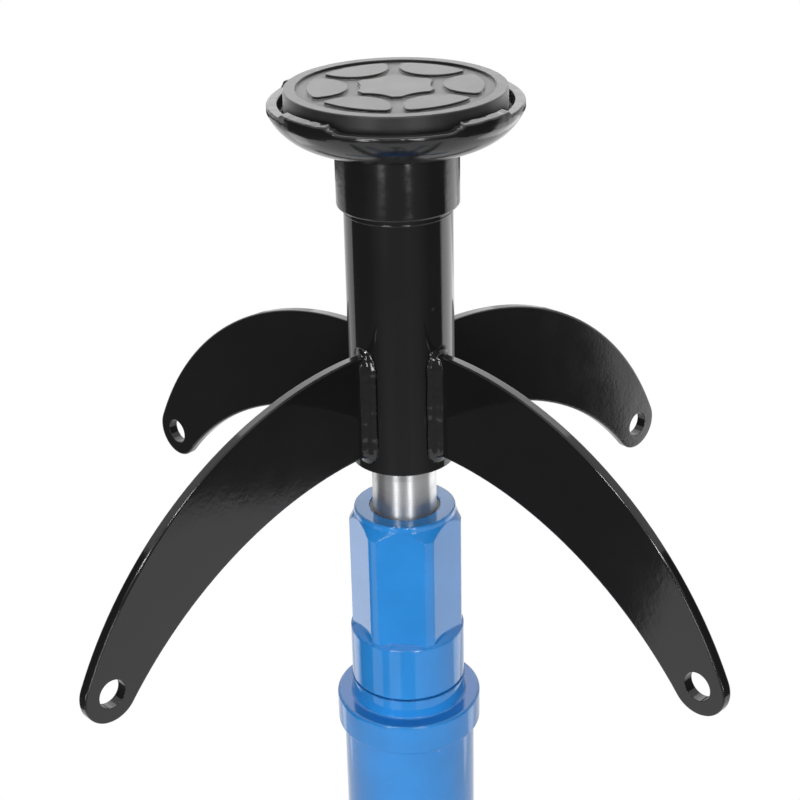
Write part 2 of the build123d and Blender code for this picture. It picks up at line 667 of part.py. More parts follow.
def tank_lid():
    """Lid of the oil tank, bored for the column and the breather plug."""
    r = TANK_D / 2 + LID_OVER
    lid = revolved([(COLUMN_D / 2 + SNUG, TANK_TOP), (r, TANK_TOP), (r, LID_TOP, LID_EDGE),
                    (COLUMN_D / 2 + SNUG, LID_TOP)])
    return lid - cyl(BREATHER_D / 2 + SNUG, TANK_TOP, LID_TOP, *polar(TANK_MID_R, BREATHER_DEG))


def breather_plug():
    """Hex plug of the oil filler."""
    place = polar(TANK_MID_R, BREATHER_DEG)
    head = hex_head(BREATHER_AF, LID_TOP, LID_TOP + BREATHER_HEAD_H, *place)
    return head + cyl(BREATHER_D / 2, TANK_TOP, LID_TOP, *place)


# Base block, plate and legs

def base_block():
    """Pump and valve body: octagon with a pump boss, column seat, valve bores and oil ways."""
    octagon = RegularPolygon(BLOCK_AF / 2, 8, major_radius=False, rotation=22.5)
    body = extrude(Pos(0, 0, LEG_Z) * octagon, BLOCK_H)
    body += box(-NOSE_W / 2, NOSE_W / 2, -NOSE_FRONT, -BLOCK_AF / 2 + NOSE_WALL, LEG_Z, BLOCK_TOP)
    body = chamfer(body.edges().group_by(Axis.Z)[-1], BLOCK_EDGE)
    body -= cyl(COLUMN_D / 2 + SNUG, COLUMN_FOOT, BLOCK_TOP)
    body -= cyl(BARREL_D / 2 + SNUG, BLOCK_TOP - BARREL_SEAT, BLOCK_TOP, 0, PLUNGER_Y)
    body -= cyl(PLUNGER_D / 2 + CHAMBER_GAP, CHAMBER_Z, BLOCK_TOP, 0, PLUNGER_Y)
    way_z = CHAMBER_Z + OIL_WAY_D / 2
    body -= Pos(0, PLUNGER_Y / 2, way_z) * Rot(90, 0, 0) * Cylinder(OIL_WAY_D / 2, -PLUNGER_Y)
    body -= cyl(OIL_WAY_D / 2, way_z, COLUMN_FOOT)
    for degrees in VALVE_DEGREES:
        place = polar(TANK_MID_R, degrees)
        body -= cyl(VALVE_BORE_D / 2, CHAMBER_Z, BLOCK_TOP, *place)
        body -= cyl(VALVE_PLUG_D / 2 + SNUG, BLOCK_TOP - VALVE_PLUG_H, BLOCK_TOP, *place)
    body -= cross_cyl(SPINDLE_D / 2 + RUN, NOSE_W / 2 - SPINDLE_IN - FREE, NOSE_W / 2, RELEASE_Y, RELEASE_Z)
    for hole in at_corners(cyl(BLOCK_SCREW_D / 2 + SNUG, LEG_Z, LEG_Z + BLOCK_SCREW_GRIP + FREE, BLOCK_SCREW_R)):
        body -= hole
    return body


def valve_balls():
    """Suction and delivery balls on their seats."""
    return [Pos(*polar(TANK_MID_R, degrees), CHAMBER_Z + VALVE_BALL_D / 2) * Sphere(VALVE_BALL_D / 2)
            for degrees in VALVE_DEGREES]


def valve_plugs():
    """Socket plugs that close the valve bores."""
    plugs = []
    for degrees in VALVE_DEGREES:
        place = polar(TANK_MID_R, degrees)
        plug = cyl(VALVE_PLUG_D / 2, BLOCK_TOP - VALVE_PLUG_H, BLOCK_TOP, *place)
        plugs.append(plug - hex_prism(VALVE_KEY_AF, BLOCK_TOP - VALVE_KEY_DEPTH, BLOCK_TOP, *place))
    return plugs


def base_plate():
    """Round plate that ties the legs and the base block together."""
    plate = revolved([(0, PLATE_Z), (PLATE_R, PLATE_Z, PLATE_ROUND), (PLATE_R, LEG_Z, PLATE_ROUND), (0, LEG_Z)])
    holes = at_corners(cyl(BLOCK_SCREW_D / 2 + SNUG, PLATE_Z, LEG_Z, BLOCK_SCREW_R))
    for r in LEG_BOLT_RADII:
        holes += at_corners(cyl(LEG_BOLT_D / 2 + SNUG, PLATE_Z, LEG_Z, r))
    for hole in holes:
        plate -= hole
    return plate


def block_screws():
    """Screws from under the plate into the base block."""
    shank = cyl(BLOCK_SCREW_D / 2, PLATE_Z, LEG_Z + BLOCK_SCREW_GRIP, BLOCK_SCREW_R)
    return at_corners(shank + cyl(BLOCK_SCREW_HEAD_D / 2, PLATE_Z - BLOCK_SCREW_HEAD_H, PLATE_Z, BLOCK_SCREW_R))


def leg(degrees):
    """Box-section leg, drilled for its bolts and its caster's stem."""
    half = LEG_W / 2
    tube = box(LEG_IN_R, LEG_OUT_R, -half, half, LEG_Z, LEG_TOP)
    tube = fillet(tube.edges().filter_by(Axis.X), LEG_WALL)
    tube -= box(LEG_IN_R, LEG_OUT_R, LEG_WALL - half, half - LEG_WALL, LEG_Z + LEG_WALL, LEG_TOP - LEG_WALL)
    for r in LEG_BOLT_RADII:
        tube -= cyl(LEG_BOLT_D / 2 + SNUG, LEG_Z, LEG_TOP, r)
    return Rot(0, 0, degrees) * (tube - cyl(STEM_D / 2 + SNUG, LEG_Z, LEG_TOP, CASTER_R))


def leg_end_caps():
    """Plastic plugs in the outer ends of the legs."""
    half = LEG_W / 2
    inset = LEG_WALL + SNUG
    cap = box(LEG_OUT_R, LEG_OUT_R + CAP_T, -half, half, LEG_Z, LEG_TOP)
    cap = fillet(cap.edges().filter_by(Axis.X), LEG_WALL)
    cap += box(LEG_OUT_R - CAP_DEPTH, LEG_OUT_R, inset - half, half - inset, LEG_Z + inset, LEG_TOP - inset)
    return at_corners(cap)


def leg_bolts():
    """Hex bolts through the legs and the plate, each with its nut."""
    pieces = []
    for r in LEG_BOLT_RADII:
        nut_foot = PLATE_Z - LEG_BOLT_HEAD_H
        bolt = hex_head(LEG_BOLT_AF, LEG_TOP, LEG_TOP + LEG_BOLT_HEAD_H, r)
        bolt += cyl(LEG_BOLT_D / 2, nut_foot - LEG_BOLT_END, LEG_TOP, r)
        nut = hex_prism(LEG_BOLT_AF, nut_foot, PLATE_Z, r) - cyl(LEG_BOLT_D / 2 + SNUG, nut_foot, PLATE_Z, r)
        pieces += at_corners(bolt) + at_corners(nut)
    return pieces


# Casters

def caster_stems():
    """Caster kingpins with their collars, and the nuts that hold them in the legs."""
    nut_top = LEG_TOP + STEM_NUT_H
    stem = cyl(STEM_D / 2, STEM_FOOT, nut_top + STEM_END, CASTER_R)
    stem += cyl(STEM_HEAD_D / 2, STEM_FOOT, STEM_FOOT + STEM_HEAD_H, CASTER_R)
    stem += cyl(STEM_COLLAR_D / 2, COLLAR_Z, LEG_Z, CASTER_R)
    nut = hex_head(STEM_NUT_AF, LEG_TOP, nut_top, CASTER_R) - cyl(STEM_D / 2 + SNUG, LEG_TOP, nut_top, CASTER_R)
    return at_corners(stem) + at_corners(nut)


def caster_fork(degrees):
    """Pressed fork with a ball race on top and two cheeks down to the axle."""
    axle = (CASTER_R + CASTER_TRAIL, AXLE_Z)
    back = CASTER_R - FORK_BACK
    front = CASTER_R + FORK_FRONT
    cheek_face = make_face(Polyline((back, RACE_Z), (front, RACE_Z), shifted(axle, (FORK_EYE_R, 0)),
                                    shifted(axle, (-FORK_EYE_R, 0)), close=True))
    cheek_face += Pos(*axle) * Circle(FORK_EYE_R)
    cheek_face -= Pos(*axle) * Circle(AXLE_D / 2 + SNUG)
    fork = box(back, front, -FORK_OUT, FORK_OUT, FORK_PLATE_Z, RACE_Z)
    for y in (-FORK_IN, FORK_OUT):
        fork += Pos(0, y, 0) * extrude(Plane.XZ * cheek_face, FORK_T)
    fork += cyl(RACE_D / 2, RACE_Z, RACE_Z + RACE_H, CASTER_R)
    return Rot(0, 0, degrees) * (fork - cyl(STEM_D / 2 + RUN, FORK_PLATE_Z, RACE_Z + RACE_H, CASTER_R))


def caster_axle(degrees):
    """Axle bolt of a caster, headed at both ends."""
    def along_y(r, y0, y1):
        return Pos(CASTER_R + CASTER_TRAIL, (y0 + y1) / 2, AXLE_Z) * Rot(90, 0, 0) * Cylinder(r, y1 - y0)

    axle = along_y(AXLE_D / 2, -FORK_OUT, FORK_OUT)
    axle += along_y(AXLE_HEAD_D / 2, FORK_OUT, FORK_OUT + AXLE_HEAD_H)
    axle += along_y(AXLE_HEAD_D / 2, -FORK_OUT - AXLE_HEAD_H, -FORK_OUT)
    return Rot(0, 0, degrees) * axle


def caster_wheel(degrees):
    """Solid wheel with dished sides, rounded tread edges and a plain bore."""
    r = WHEEL_D / 2
    half = WHEEL_W / 2
    hub_r = WHEEL_HUB_D / 2
    side = [(AXLE_D / 2 + RUN, half), (hub_r, half), (hub_r, half - WHEEL_DISH), (r - WHEEL_RIM, half - WHEEL_DISH),
            (r - WHEEL_RIM, half), (r, half, WHEEL_EDGE)]
    wheel = revolved(side + [(x, -z, *rounding) for x, z, *rounding in reversed(side)])
    return Rot(0, 0, degrees) * Pos(CASTER_R + CASTER_TRAIL, 0, AXLE_Z) * Rot(90, 0, 0) * wheel


# Foot pump

def pump_barrel():
    """Pump cylinder screwed into the boss."""
    foot = BLOCK_TOP - BARREL_SEAT
    r = BARREL_D / 2
    barrel = Pos(0, PLUNGER_Y, 0) * revolved([(0, foot), (r, foot), (r, BARREL_TOP, BARREL_EDGE), (0, BARREL_TOP)])
    return barrel - cyl(PLUNGER_D / 2 + RUN, foot, BARREL_TOP, 0, PLUNGER_Y)


def pump_plunger():
    """Pump plunger with the cap that the spring and the lever bear on."""
    foot = CHAMBER_Z + PLUNGER_REST + PUMP_STROKE
    cap_r = PLUNGER_CAP_D / 2
    cap = revolved([(0, CAP_FOOT), (cap_r, CAP_FOOT, CAP_EDGE), (cap_r, CAP_TOP, CAP_EDGE), (0, CAP_TOP)])
    return cyl(PLUNGER_D / 2, foot, CAP_FOOT, 0, PLUNGER_Y) + Pos(0, PLUNGER_Y, 0) * cap


def spring_point(turn):
    """Point and direction of the spring's wire, with a close coil at each end."""
    foot = BARREL_TOP + SPRING_WIRE / 2 + SNUG
    top = CAP_FOOT - SPRING_WIRE / 2 - FREE
    end_pitch = SPRING_WIRE + SPRING_END_GAP
    pitch = (top - foot - 2 * end_pitch) / (SPRING_TURNS - 2)
    angle = 2 * math.pi * turn
    if turn <= 1:
        height, climb = foot + end_pitch * turn, end_pitch
    elif turn >= SPRING_TURNS - 1:
        height, climb = top - end_pitch * (SPRING_TURNS - turn), end_pitch
    else:
        height, climb = foot + end_pitch + pitch * (turn - 1), pitch
    round_trip = 2 * math.pi * SPRING_R
    point = Vector(SPRING_R * math.cos(angle), PLUNGER_Y + SPRING_R * math.sin(angle), height)
    return point, Vector(-math.sin(angle) * round_trip, math.cos(angle) * round_trip, climb).normalized()


def biarc(start, start_way, end, end_way):
    """Two tangent arcs from one point and direction to another."""
    chord = end - start
    spread = 2 * (1 - start_way.dot(end_way))
    along = chord.dot(start_way + end_way)
    reach = (math.sqrt(along * along + spread * chord.dot(chord)) - along) / spread
    first_knot = start + start_way * reach
    second_knot = end - end_way * reach
    joint = (first_knot + second_knot) / 2
    joint_way = (second_knot - first_knot).normalized()
    return [Edge.make_tangent_arc(start, start_way, joint), Edge.make_tangent_arc(joint, joint_way, end)]


def pump_spring():
    """Return spring round the plunger: one unbroken coil of round wire."""
    knots = [spring_point(i / 2) for i in range(2 * SPRING_TURNS + 1)]
    edges = []
    for (start, start_way), (end, end_way) in zip(knots, knots[1:]):
        edges += biarc(start, start_way, end, end_way)
    section = Plane(origin=knots[0][0], z_dir=knots[0][1]) * Circle(SPRING_WIRE / 2)
    return sweep(section, path=Wire(edges))


def spring_gap():
    """Least gap between the spring's own coils, measured on points of its wire."""
    steps_per_turn = 24
    centres = [spring_point(i / steps_per_turn)[0] for i in range(SPRING_TURNS * steps_per_turn + 1)]
    away = steps_per_turn // 2
    least = min((centres[j] - centres[i]).length for i in range(len(centres)) for j in range(i + away, len(centres)))
    return least - SPRING_WIRE


def pedal_bracket():
    """Two ears on a foot that carry the pedal's pivot pin."""
    inner = LEVER_W / 2 + FREE
    outer = inner + EAR_T
    back = PIVOT_Y + EAR_W / 2
    front = PIVOT_Y - EAR_W / 2
    bracket = box(-outer, outer, front, back, BLOCK_TOP, BLOCK_TOP + EAR_FOOT)
    for x0, x1 in ((-outer, -inner), (inner, outer)):
        bracket += box(x0, x1, front, back, BLOCK_TOP, PIVOT_Z)
        bracket += cross_cyl(EAR_W / 2, x0, x1, PIVOT_Y, PIVOT_Z)
    return bracket - cross_cyl(PIVOT_PIN_D / 2 + SNUG, -outer, outer, PIVOT_Y, PIVOT_Z)


def pivot_pin():
    """Pin of the pump pedal."""
    reach = LEVER_W / 2 + FREE + EAR_T + PIVOT_PIN_OVER
    return cross_cyl(PIVOT_PIN_D / 2, -reach, reach, PIVOT_Y, PIVOT_Z)


def lever_bar(start, end):
    """Straight stretch of the pedal's lever, between two (y, z) points off the pivot."""
    run = (end[0] - start[0], end[1] - start[1])
    tilt = math.degrees(math.atan2(run[1], run[0]))
    middle = shifted(start, (run[0] / 2, run[1] / 2))
    return Pos(0, PIVOT_Y + middle[0], PIVOT_Z + middle[1]) * Rot(tilt, 0, 0) * Box(LEVER_W, math.hypot(*run), LEVER_H)


def pedal_lever():
    """Cranked pump lever: pivot eye, nub over the plunger and foot plate."""
    half = LEVER_W / 2
    knee = (-LEVER_KNEE, 0.0)
    heel = (FOOT_L / 2 + HEEL_PAST - LEVER_REACH, -LEVER_FALL)
    toe = (-LEVER_REACH, -LEVER_FALL)
    lever = lever_bar((0.0, 0.0), knee) + lever_bar(knee, heel) + lever_bar(heel, toe)
    lever += cross_cyl(PIVOT_EYE_R, -half, half, PIVOT_Y, PIVOT_Z)
    for bend in (knee, heel, toe):
        lever += cross_cyl(LEVER_H / 2, -half, half, PIVOT_Y + bend[0], PIVOT_Z + bend[1])
    lever += cross_cyl(NUB_R, -half, half, PLUNGER_Y, PIVOT_Z - NUB_DROP)
    foot = extrude(Pos(0, PIVOT_Y + toe[0], FOOT_Z) * RectangleRounded(FOOT_W, FOOT_L, FOOT_CORNER), FOOT_T)
    return lever + foot - cross_cyl(PIVOT_PIN_D / 2 + RUN, -half, half, PIVOT_Y, PIVOT_Z)


def pedal_tread():
    """Ribbed rubber on the foot plate."""
    y = PIVOT_Y - LEVER_REACH
    top = FOOT_Z + FOOT_T
    width = FOOT_W - 2 * TREAD_EDGE
    length = FOOT_L - 2 * TREAD_EDGE
    tread = extrude(Pos(0, y, top) * RectangleRounded(width, length, FOOT_CORNER - TREAD_EDGE), TREAD_T)
    pitch = length / TREAD_RIBS
    rib_half = width / 2 - TREAD_EDGE
    for i in range(TREAD_RIBS):
        rib_y = y + (i + 0.5) * pitch - length / 2
        tread += box(-rib_half, rib_half, rib_y - TREAD_RIB_W / 2, rib_y + TREAD_RIB_W / 2,
                     top + TREAD_T, top + TREAD_T + TREAD_RIB_H)
    return tread


# Release valve

def release_spindle():
    """Valve spindle that the release pedal turns."""
    spindle_end = RELEASE_X + RELEASE_HUB_W + SPINDLE_END
    return cross_cyl(SPINDLE_D / 2, NOSE_W / 2 - SPINDLE_IN, spindle_end, RELEASE_Y, RELEASE_Z)


def release_pedal():
    """Release lever: hub on the spindle, flat arm and small foot pad."""
    x1 = RELEASE_X + RELEASE_HUB_W
    pad_y = RELEASE_Y - RELEASE_REACH
    half = RELEASE_ARM_H / 2
    pedal = cross_cyl(RELEASE_HUB_D / 2, RELEASE_X, x1, RELEASE_Y, RELEASE_Z)
    pedal += box(RELEASE_X, x1, pad_y, RELEASE_Y, RELEASE_Z - half, RELEASE_Z + half)
    pad = RectangleRounded(RELEASE_PAD_W, RELEASE_PAD_L, RELEASE_PAD_CORNER)
    pedal += extrude(Pos((RELEASE_X + x1) / 2, pad_y, RELEASE_Z + half - RELEASE_PAD_T) * pad, RELEASE_PAD_T)
    return pedal - cross_cyl(SPINDLE_D / 2 + SNUG, RELEASE_X, x1, RELEASE_Y, RELEASE_Z)


# Handle

def handle_bar():
    """Bent round bar welded to the back of the column."""
    skin = COLUMN_D / 2
    inside = skin - COLUMN_WALL / 2
    grip_y = skin + HANDLE_STANDOFF
    top = HANDLE_Z + HANDLE_H
    path = FilletPolyline((0, inside, HANDLE_Z), (0, grip_y, HANDLE_Z), (0, grip_y, top), (0, inside, top),
                          radius=HANDLE_BEND)
    section = Plane(origin=(0, inside, HANDLE_Z), z_dir=(0, 1, 0)) * Circle(HANDLE_D / 2)
    return sweep(section, path=path) - cyl(skin, HANDLE_Z - HANDLE_D, top + HANDLE_D)


SINGLE_NODES = [
    saddle_pad, saddle_dish, head_tube, head_bush, head_plug, arm_welds, head_bolt, ram_rod, ram_piston,
    stage_tube, stage_piston, hex_gland, rod_bush, rod_wiper, column_tube, column_head, column_wiper, tank_shell,
    tank_lid, breather_plug, base_block, valve_balls, valve_plugs, base_plate, block_screws, leg_end_caps, leg_bolts,
    caster_stems, pump_barrel, pump_plunger, pump_spring, pedal_bracket, pivot_pin, pedal_lever, pedal_tread,
    release_spindle, release_pedal, handle_bar,
]
CORNER_NODES = [arm, leg, caster_fork, caster_axle, caster_wheel]


def all_nodes():
    """Every node's name and its solid or list of solids."""
    nodes = {make.__name__: make() for make in SINGLE_NODES}
    nodes["ram_piston_seal"] = seal(RAM_PISTON_R, RAM_SEAL_Z)
    nodes["stage_piston_seal"] = seal(STAGE_PISTON_R, STAGE_SEAL_Z)
    for make in CORNER_NODES:
        for corner, degrees in CORNERS.items():
            nodes[f"{make.__name__}_{corner}"] = make(degrees)
    return nodes


os.makedirs("parts", exist_ok=True)
for node_name, shape in all_nodes().items():
    if isinstance(shape, list):
        shape = Compound(children=shape)
    export_step(shape, f"parts/{node_name}.step")
print(f"first stage stroke {STAGE_STROKE:.1f} mm, rod stroke {RAM_STROKE:.1f} mm, lowered height {PAD_TOP:.1f} mm")
print(f"least gap between the spring's coils {spring_gap():.2f} mm")
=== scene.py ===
"""Looks of the telescopic hydraulic jack: paint, chrome, rubber, weld beads, pump spring, studio and camera.

Metres, +Z up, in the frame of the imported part. The pump pedal and the camera are towards -Y.
"""

import bpy
import json
import math
import random
from mathutils import Matrix, Vector, noise


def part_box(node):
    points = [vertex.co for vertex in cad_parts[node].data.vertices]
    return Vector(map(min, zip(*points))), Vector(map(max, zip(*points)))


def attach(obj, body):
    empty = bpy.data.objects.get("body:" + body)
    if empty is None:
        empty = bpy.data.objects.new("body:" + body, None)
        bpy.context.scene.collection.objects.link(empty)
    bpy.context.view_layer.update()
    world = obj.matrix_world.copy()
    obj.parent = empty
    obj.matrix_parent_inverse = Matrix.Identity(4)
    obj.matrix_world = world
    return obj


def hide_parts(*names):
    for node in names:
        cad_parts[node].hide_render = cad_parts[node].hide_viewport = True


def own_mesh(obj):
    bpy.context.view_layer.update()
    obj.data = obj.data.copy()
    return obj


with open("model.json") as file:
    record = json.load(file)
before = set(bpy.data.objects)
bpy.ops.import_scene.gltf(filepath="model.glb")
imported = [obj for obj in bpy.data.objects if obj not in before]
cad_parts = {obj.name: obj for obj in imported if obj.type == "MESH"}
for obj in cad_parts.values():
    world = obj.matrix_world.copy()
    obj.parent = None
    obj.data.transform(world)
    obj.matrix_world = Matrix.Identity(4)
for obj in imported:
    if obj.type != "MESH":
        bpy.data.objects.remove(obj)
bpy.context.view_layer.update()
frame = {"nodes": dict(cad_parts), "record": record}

MM = 0.001
CORNERS = {"rear_right": 45.0, "rear_left": 135.0, "front_left": 225.0, "front_right": 315.0}
SEED = 7

# Camera
PHOTO_PX = 800
FOCAL_PX = 1745.2
SENSOR_MM = 36.0
CAMERA_BACK = 0.7210          # column axis to the camera, over the floor
CAMERA_OVER_PAD = 0.1951
CAMERA_PITCH_DEG = 25.37
CAMERA_ROLL_DEG = -1.265
CAMERA_TURN_DEG = 0.92        # round the column, from the plane of the pedal
AXIS_RIGHT_PX = 2.5           # lens axis, right of the middle of the image

# Finishes
GLOSS_BLACK = (0.0085, 0.0085, 0.009)
SATIN_BLACK = (0.011, 0.011, 0.0115)
ENAMEL_BLUE = (0.021, 0.245, 0.67)
SETTLED_DUST = (0.2, 0.2, 0.19)
PAINT_TONES = (0.88, 1.07)    # darkest and lightest patches, as shares of the paint's colour
PAINT_DEPTH = 0.3 * MM        # orange peel and chips
OWN_FINISH = {"pedal_lever": "satin_black_paint", "release_pedal": "satin_black_paint"}

# Saddle pad tread
PAD_BORDER = 5.2 * MM
TREAD_DEPTH = 1.25 * MM
PETAL_COUNT = 6
PETAL_IN_R = 20.0 * MM
PETAL_OUT_GAP = 5.0 * MM
PETAL_HALF_DEG = 25.4
PETAL_BLUNT_DEG = 3.4         # outer corner of a petal, taken off
PETAL_BLUNT = 3.0 * MM
PETAL_BULGE = (0.36, 0.2)     # middle of that corner: shares of its depth and of its angle
STAR_TIP_R = 17.6 * MM
STAR_WAIST_R = 14.8 * MM
STAR_TIP_HALF_DEG = 7.0
TREAD_TURN_DEG = 2.0
RUBBER_EDGE = 0.35 * MM
BLOCK_SINK = 0.2 * MM         # foot of a moulded block, below the face that it stands on

# Saddle dish
RIM_W = 4.8 * MM
RIM_H = 9.3 * MM
RIM_ROUND = 1.1 * MM
RIM_ZONE = 2.4 * MM           # depth of rim that the lugs and the rough edge reach into
RIM_BLEND = 1.4 * MM          # over which they set in
RIM_WAVE = 0.20 * MM
RIM_GRIT = 0.03 * MM
RIM_BITE = 0.20 * MM          # nibbles in the outer edge
PLAIN_RIM_ROUGH = 0.45        # roughness between the lugs, as a share of that on them
LUG_H = {"rear_right": 2.7 * MM, "rear_left": 3.2 * MM, "front_left": 2.3 * MM, "front_right": 2.4 * MM}
LUG_SPAN_DEG = {"rear_right": (-17.0, 17.0), "rear_left": (-17.0, 21.0), "front_left": (-17.5, 18.5),
                "front_right": (-17.0, 17.0)}
LUG_RUN_DEG = (0.2, 2.4)      # ragged end of a lug, shortest and longest: run-out of its low step
LUG_RAMP_DEG = (1.2, 2.6)     # slope of its step
LUG_NOTCH_DEG = (0.2, 2.0)    # length of its step
LUG_LOW_END = (0.2, 1.5, 3.6)   # the same three of the one lug end that is a long low step
LUG_END_DEG = 4.0             # past a lug's end, where its run-out may still lie
LUG_STEP = 0.38               # height of the low step, as a share of the lug's
LUG_STEEPER = 0.8             # length of the slope above the step, as a share of the one below it
LUG_SHORT = 0.25 * MM         # room over a lug for its waves
LUG_SLOPE = 0.9 * MM          # drop of a lug's top from its inner to its outer edge
LUG_PULL = 0.3 * MM           # lug's outer face, inside the rim's
LUG_EDGE = 1.5 * MM           # inner part of the rim that isn't pulled, and width over which the pull sets in
DIP_HALF_DEG = 31.0           # rim between the two front lugs, below the rest
DIP_RAMP_DEG = 8.0
FRONT_DIP = 0.9 * MM
DISH_FLOOR = 8.0 * MM
DISH_SKIRT = 3.0 * MM
HUB_ROUND = 1.2 * MM
HUB_FILLET = 0.8 * MM
SOCKET_WALL = 3.0 * MM
SOCKET_PLAY = 0.03 * MM       # socket's bore round the sleeve
SOCKET_LIP = 0.3 * MM

# Bead of paint on the sleeve
BEAD_DROP = 2.4 * MM          # below the dish's socket
BEAD_PROUD = 0.24 * MM
BEAD_H = 0.9 * MM
BEAD_SINK = 0.3 * MM

# Weld beads
ARM_T = 5.0 * MM
ARM_ROOT_H = 49.5 * MM
ARM_ROOT_UP = 7.7 * MM
WELD_WIDE = 5.2 * MM          # fillet along the tube, from the arm's face
WELD_HIGH = 4.6 * MM          # fillet along the arm, from the tube
WELD_SAG = 0.14               # hollow of a fillet's face along each leg, as a share of its width
WELD_SINK = 0.6 * MM
WELD_STEP = 0.7 * MM
WELD_WAVE = 9.0 * MM          # length of a slow change of a fillet's size
WELD_SWELL = 0.05             # slow and quick changes of its size
WELD_RIPPLE = 0.03
WELD_LUMP = 0.20 * MM
WELD_TOP_RUN = 6.0 * MM       # upper turn of a fillet, how much thinner it is, and its lumps
WELD_TOP_THIN = 0.30
WELD_TOP_LUMP = 0.9 * MM
WELD_FOOT_RUN = 4.0 * MM      # the same for its lower turn
WELD_FOOT_THIN = 0.12
WELD_FOOT_LUMP = 0.3 * MM
ARM_WELD = 0.97               # size of the arms' fillets, as a share of the full section
HANDLE_WELD = 0.78
HANDLE_DEG = 90.0             # side of the column that the handle is on
SEAM_RIPPLE = 2.6 * MM        # pitch of a bead's ripples
SEAM_STEPS = 8                # along a ripple
SEAM_CROWN = 0.12             # swell of a bead's face, its ripples and its lumps, as shares of its leg
SEAM_POOL = 0.10
SEAM_LUMP = 0.12
TANK_FOOT_BEAD = 3.0 * MM
TANK_TOP_BEAD = 1.6 * MM
COLUMN_BEAD = 3.4 * MM
SECTION_STEPS = 7             # across the face of a fillet or bead

# Pump spring
SPRING_WIRE = 2.6 * MM
SPRING_R = 11.5 * MM
SPRING_TURNS = 6
SPRING_END_GAP = 0.6 * MM

# Pedal rubber
PEDAL_RIBS = 5
PEDAL_RIB_W = 6.0 * MM
PEDAL_RIB_H = 2.0 * MM
PEDAL_RIB_INSET = 3.0 * MM
PEDAL_RIB_CORNER = 0.3        # as a share of the rib's width
PEDAL_CORNER = 5.0 * MM

# Studio, in metres and in degrees of bearing, from -Y towards +X
WHITE = (1.0, 1.0, 1.0, 1.0)
FILL_LEVEL = 0.12             # even light of the surround
FLOOR_R = 0.62
FLOOR_FADE_R = 0.44
FLOOR_COLOUR = (0.86, 0.86, 0.86, 1.0)
FLOOR_LIFT = 0.22             # glow that the camera alone sees
FLOOR_MIRRORED = 0.95         # floor as reflections show it
SWEEP_FRONT_R = 0.85          # edge of the white sweep
SWEEP_PATCH_R = 1.3
SWEEP_BACK_R = 2.6
SWEEP_PATCHES = ((-76.0, -52.0), (-38.0, -14.0), (14.0, 100.0))
FRONT_WALL = (-114.0, 102.0)
BOARD_END = 150.0             # end of the pale board that begins at the wall's right end
STUDIO_R = 3.2
STUDIO_H = 2.6
STUDIO_DROP = 0.01            # unlit floor, below the pale one
STUDIO_DARK = (0.04, 0.04, 0.045, 1.0)
HEAD_AIM = Vector((0.0, 0.0, 0.72))
STRIP_AIM = Vector((0.0, 0.0, 0.58))


# Mesh helpers

def clamped(value):
    """Value held between 0 and 1."""
    return min(1.0, max(0.0, value))


def eased(share):
    """Share with a soft start and a soft end."""
    return share * share * (3 - 2 * share)


def polar(radius, degrees):
    """Plane point at a radius and an angle."""
    return Vector((radius * math.cos(math.radians(degrees)), radius * math.sin(math.radians(degrees))))


def arc_through(start, middle, end, steps):
    """Points of the arc from start through middle to end, the last one left out."""
    ax, ay = start
    bx, by = middle
    cx, cy = end
    d = 2 * (ax * (by - cy) + bx * (cy - ay) + cx * (ay - by))
    a2, b2, c2 = ax * ax + ay * ay, bx * bx + by * by, cx * cx + cy * cy
    centre = Vector(((a2 * (by - cy) + b2 * (cy - ay) + c2 * (ay - by)) / d,
                     (a2 * (cx - bx) + b2 * (ax - cx) + c2 * (bx - ax)) / d))
    radius = (Vector(start) - centre).length
    first, through, last = [math.atan2(p[1] - centre.y, p[0] - centre.x) for p in (start, middle, end)]
    turn = (last - first) % (2 * math.pi)
    if (through - first) % (2 * math.pi) > turn:
        turn -= 2 * math.pi
    angles = [first + turn * i / steps for i in range(steps)]
    return [centre + radius * Vector((math.cos(a), math.sin(a))) for a in angles]


def rounded_outline(corners, radii, steps=5):
    """Closed outline whose corners are rounded off, each by its own radius."""
    points = []
    count = len(corners)
    for i in range(count):
        before, here, after = (Vector(corners[j % count]) for j in (i - 1, i, i + 1))
        radius = radii[i]
        if radius <= 0:
            points.append(here)
            continue
        to_before = (before - here).normalized()
        to_after = (after - here).normalized()
        half = to_before.angle(to_after) / 2
        reach = radius / math.tan(half)
        centre = here + (to_before + to_after).normalized() * (radius / math.sin(half))
        start = here + to_before * reach - centre
        end = here + to_after * reach - centre
        for k in range(steps + 1):
            points.append(centre + start.lerp(end, k / steps).normalized() * radius)
    return points


def rounded_plate(x0, x1, y0, y1, corner):
    """Outline of a rectangle with four equal round corners."""
    return rounded_outline([(x0, y0), (x1, y0), (x1, y1), (x0, y1)], [corner] * 4, steps=6)


def inset(outline, distance):
    """Outline moved inwards along its own normals; it runs counter-clockwise."""
    count = len(outline)
    moved = []
    for i, here in enumerate(outline):
        way = (outline[(i + 1) % count] - outline[i - 1]).normalized()
        moved.append(here + Vector((-way.y, way.x)) * distance)
    return moved


def closed_rings(rings, caps=True):
    """Vertices and faces of a skin over rings of equal length, closed round each ring."""
    verts = [p for ring in rings for p in ring]
    count = len(rings[0])
    faces = []
    for i in range(len(rings) - 1):
        for j in range(count):
            k = (j + 1) % count
            faces.append((i * count + j, i * count + k, (i + 1) * count + k, (i + 1) * count + j))
    if caps:
        last = (len(rings) - 1) * count
        faces.append(tuple(reversed(range(count))))
        faces.append(tuple(range(last, last + count)))
    return verts, faces


def looped_rings(rings):
    """Vertices and faces of a skin over rings, whose last ring joins the first."""
    verts, faces = closed_rings(rings + [rings[0]], caps=False)
    count = len(rings) * len(rings[0])
    return verts[:count], [tuple(i % count for i in face) for face in faces]


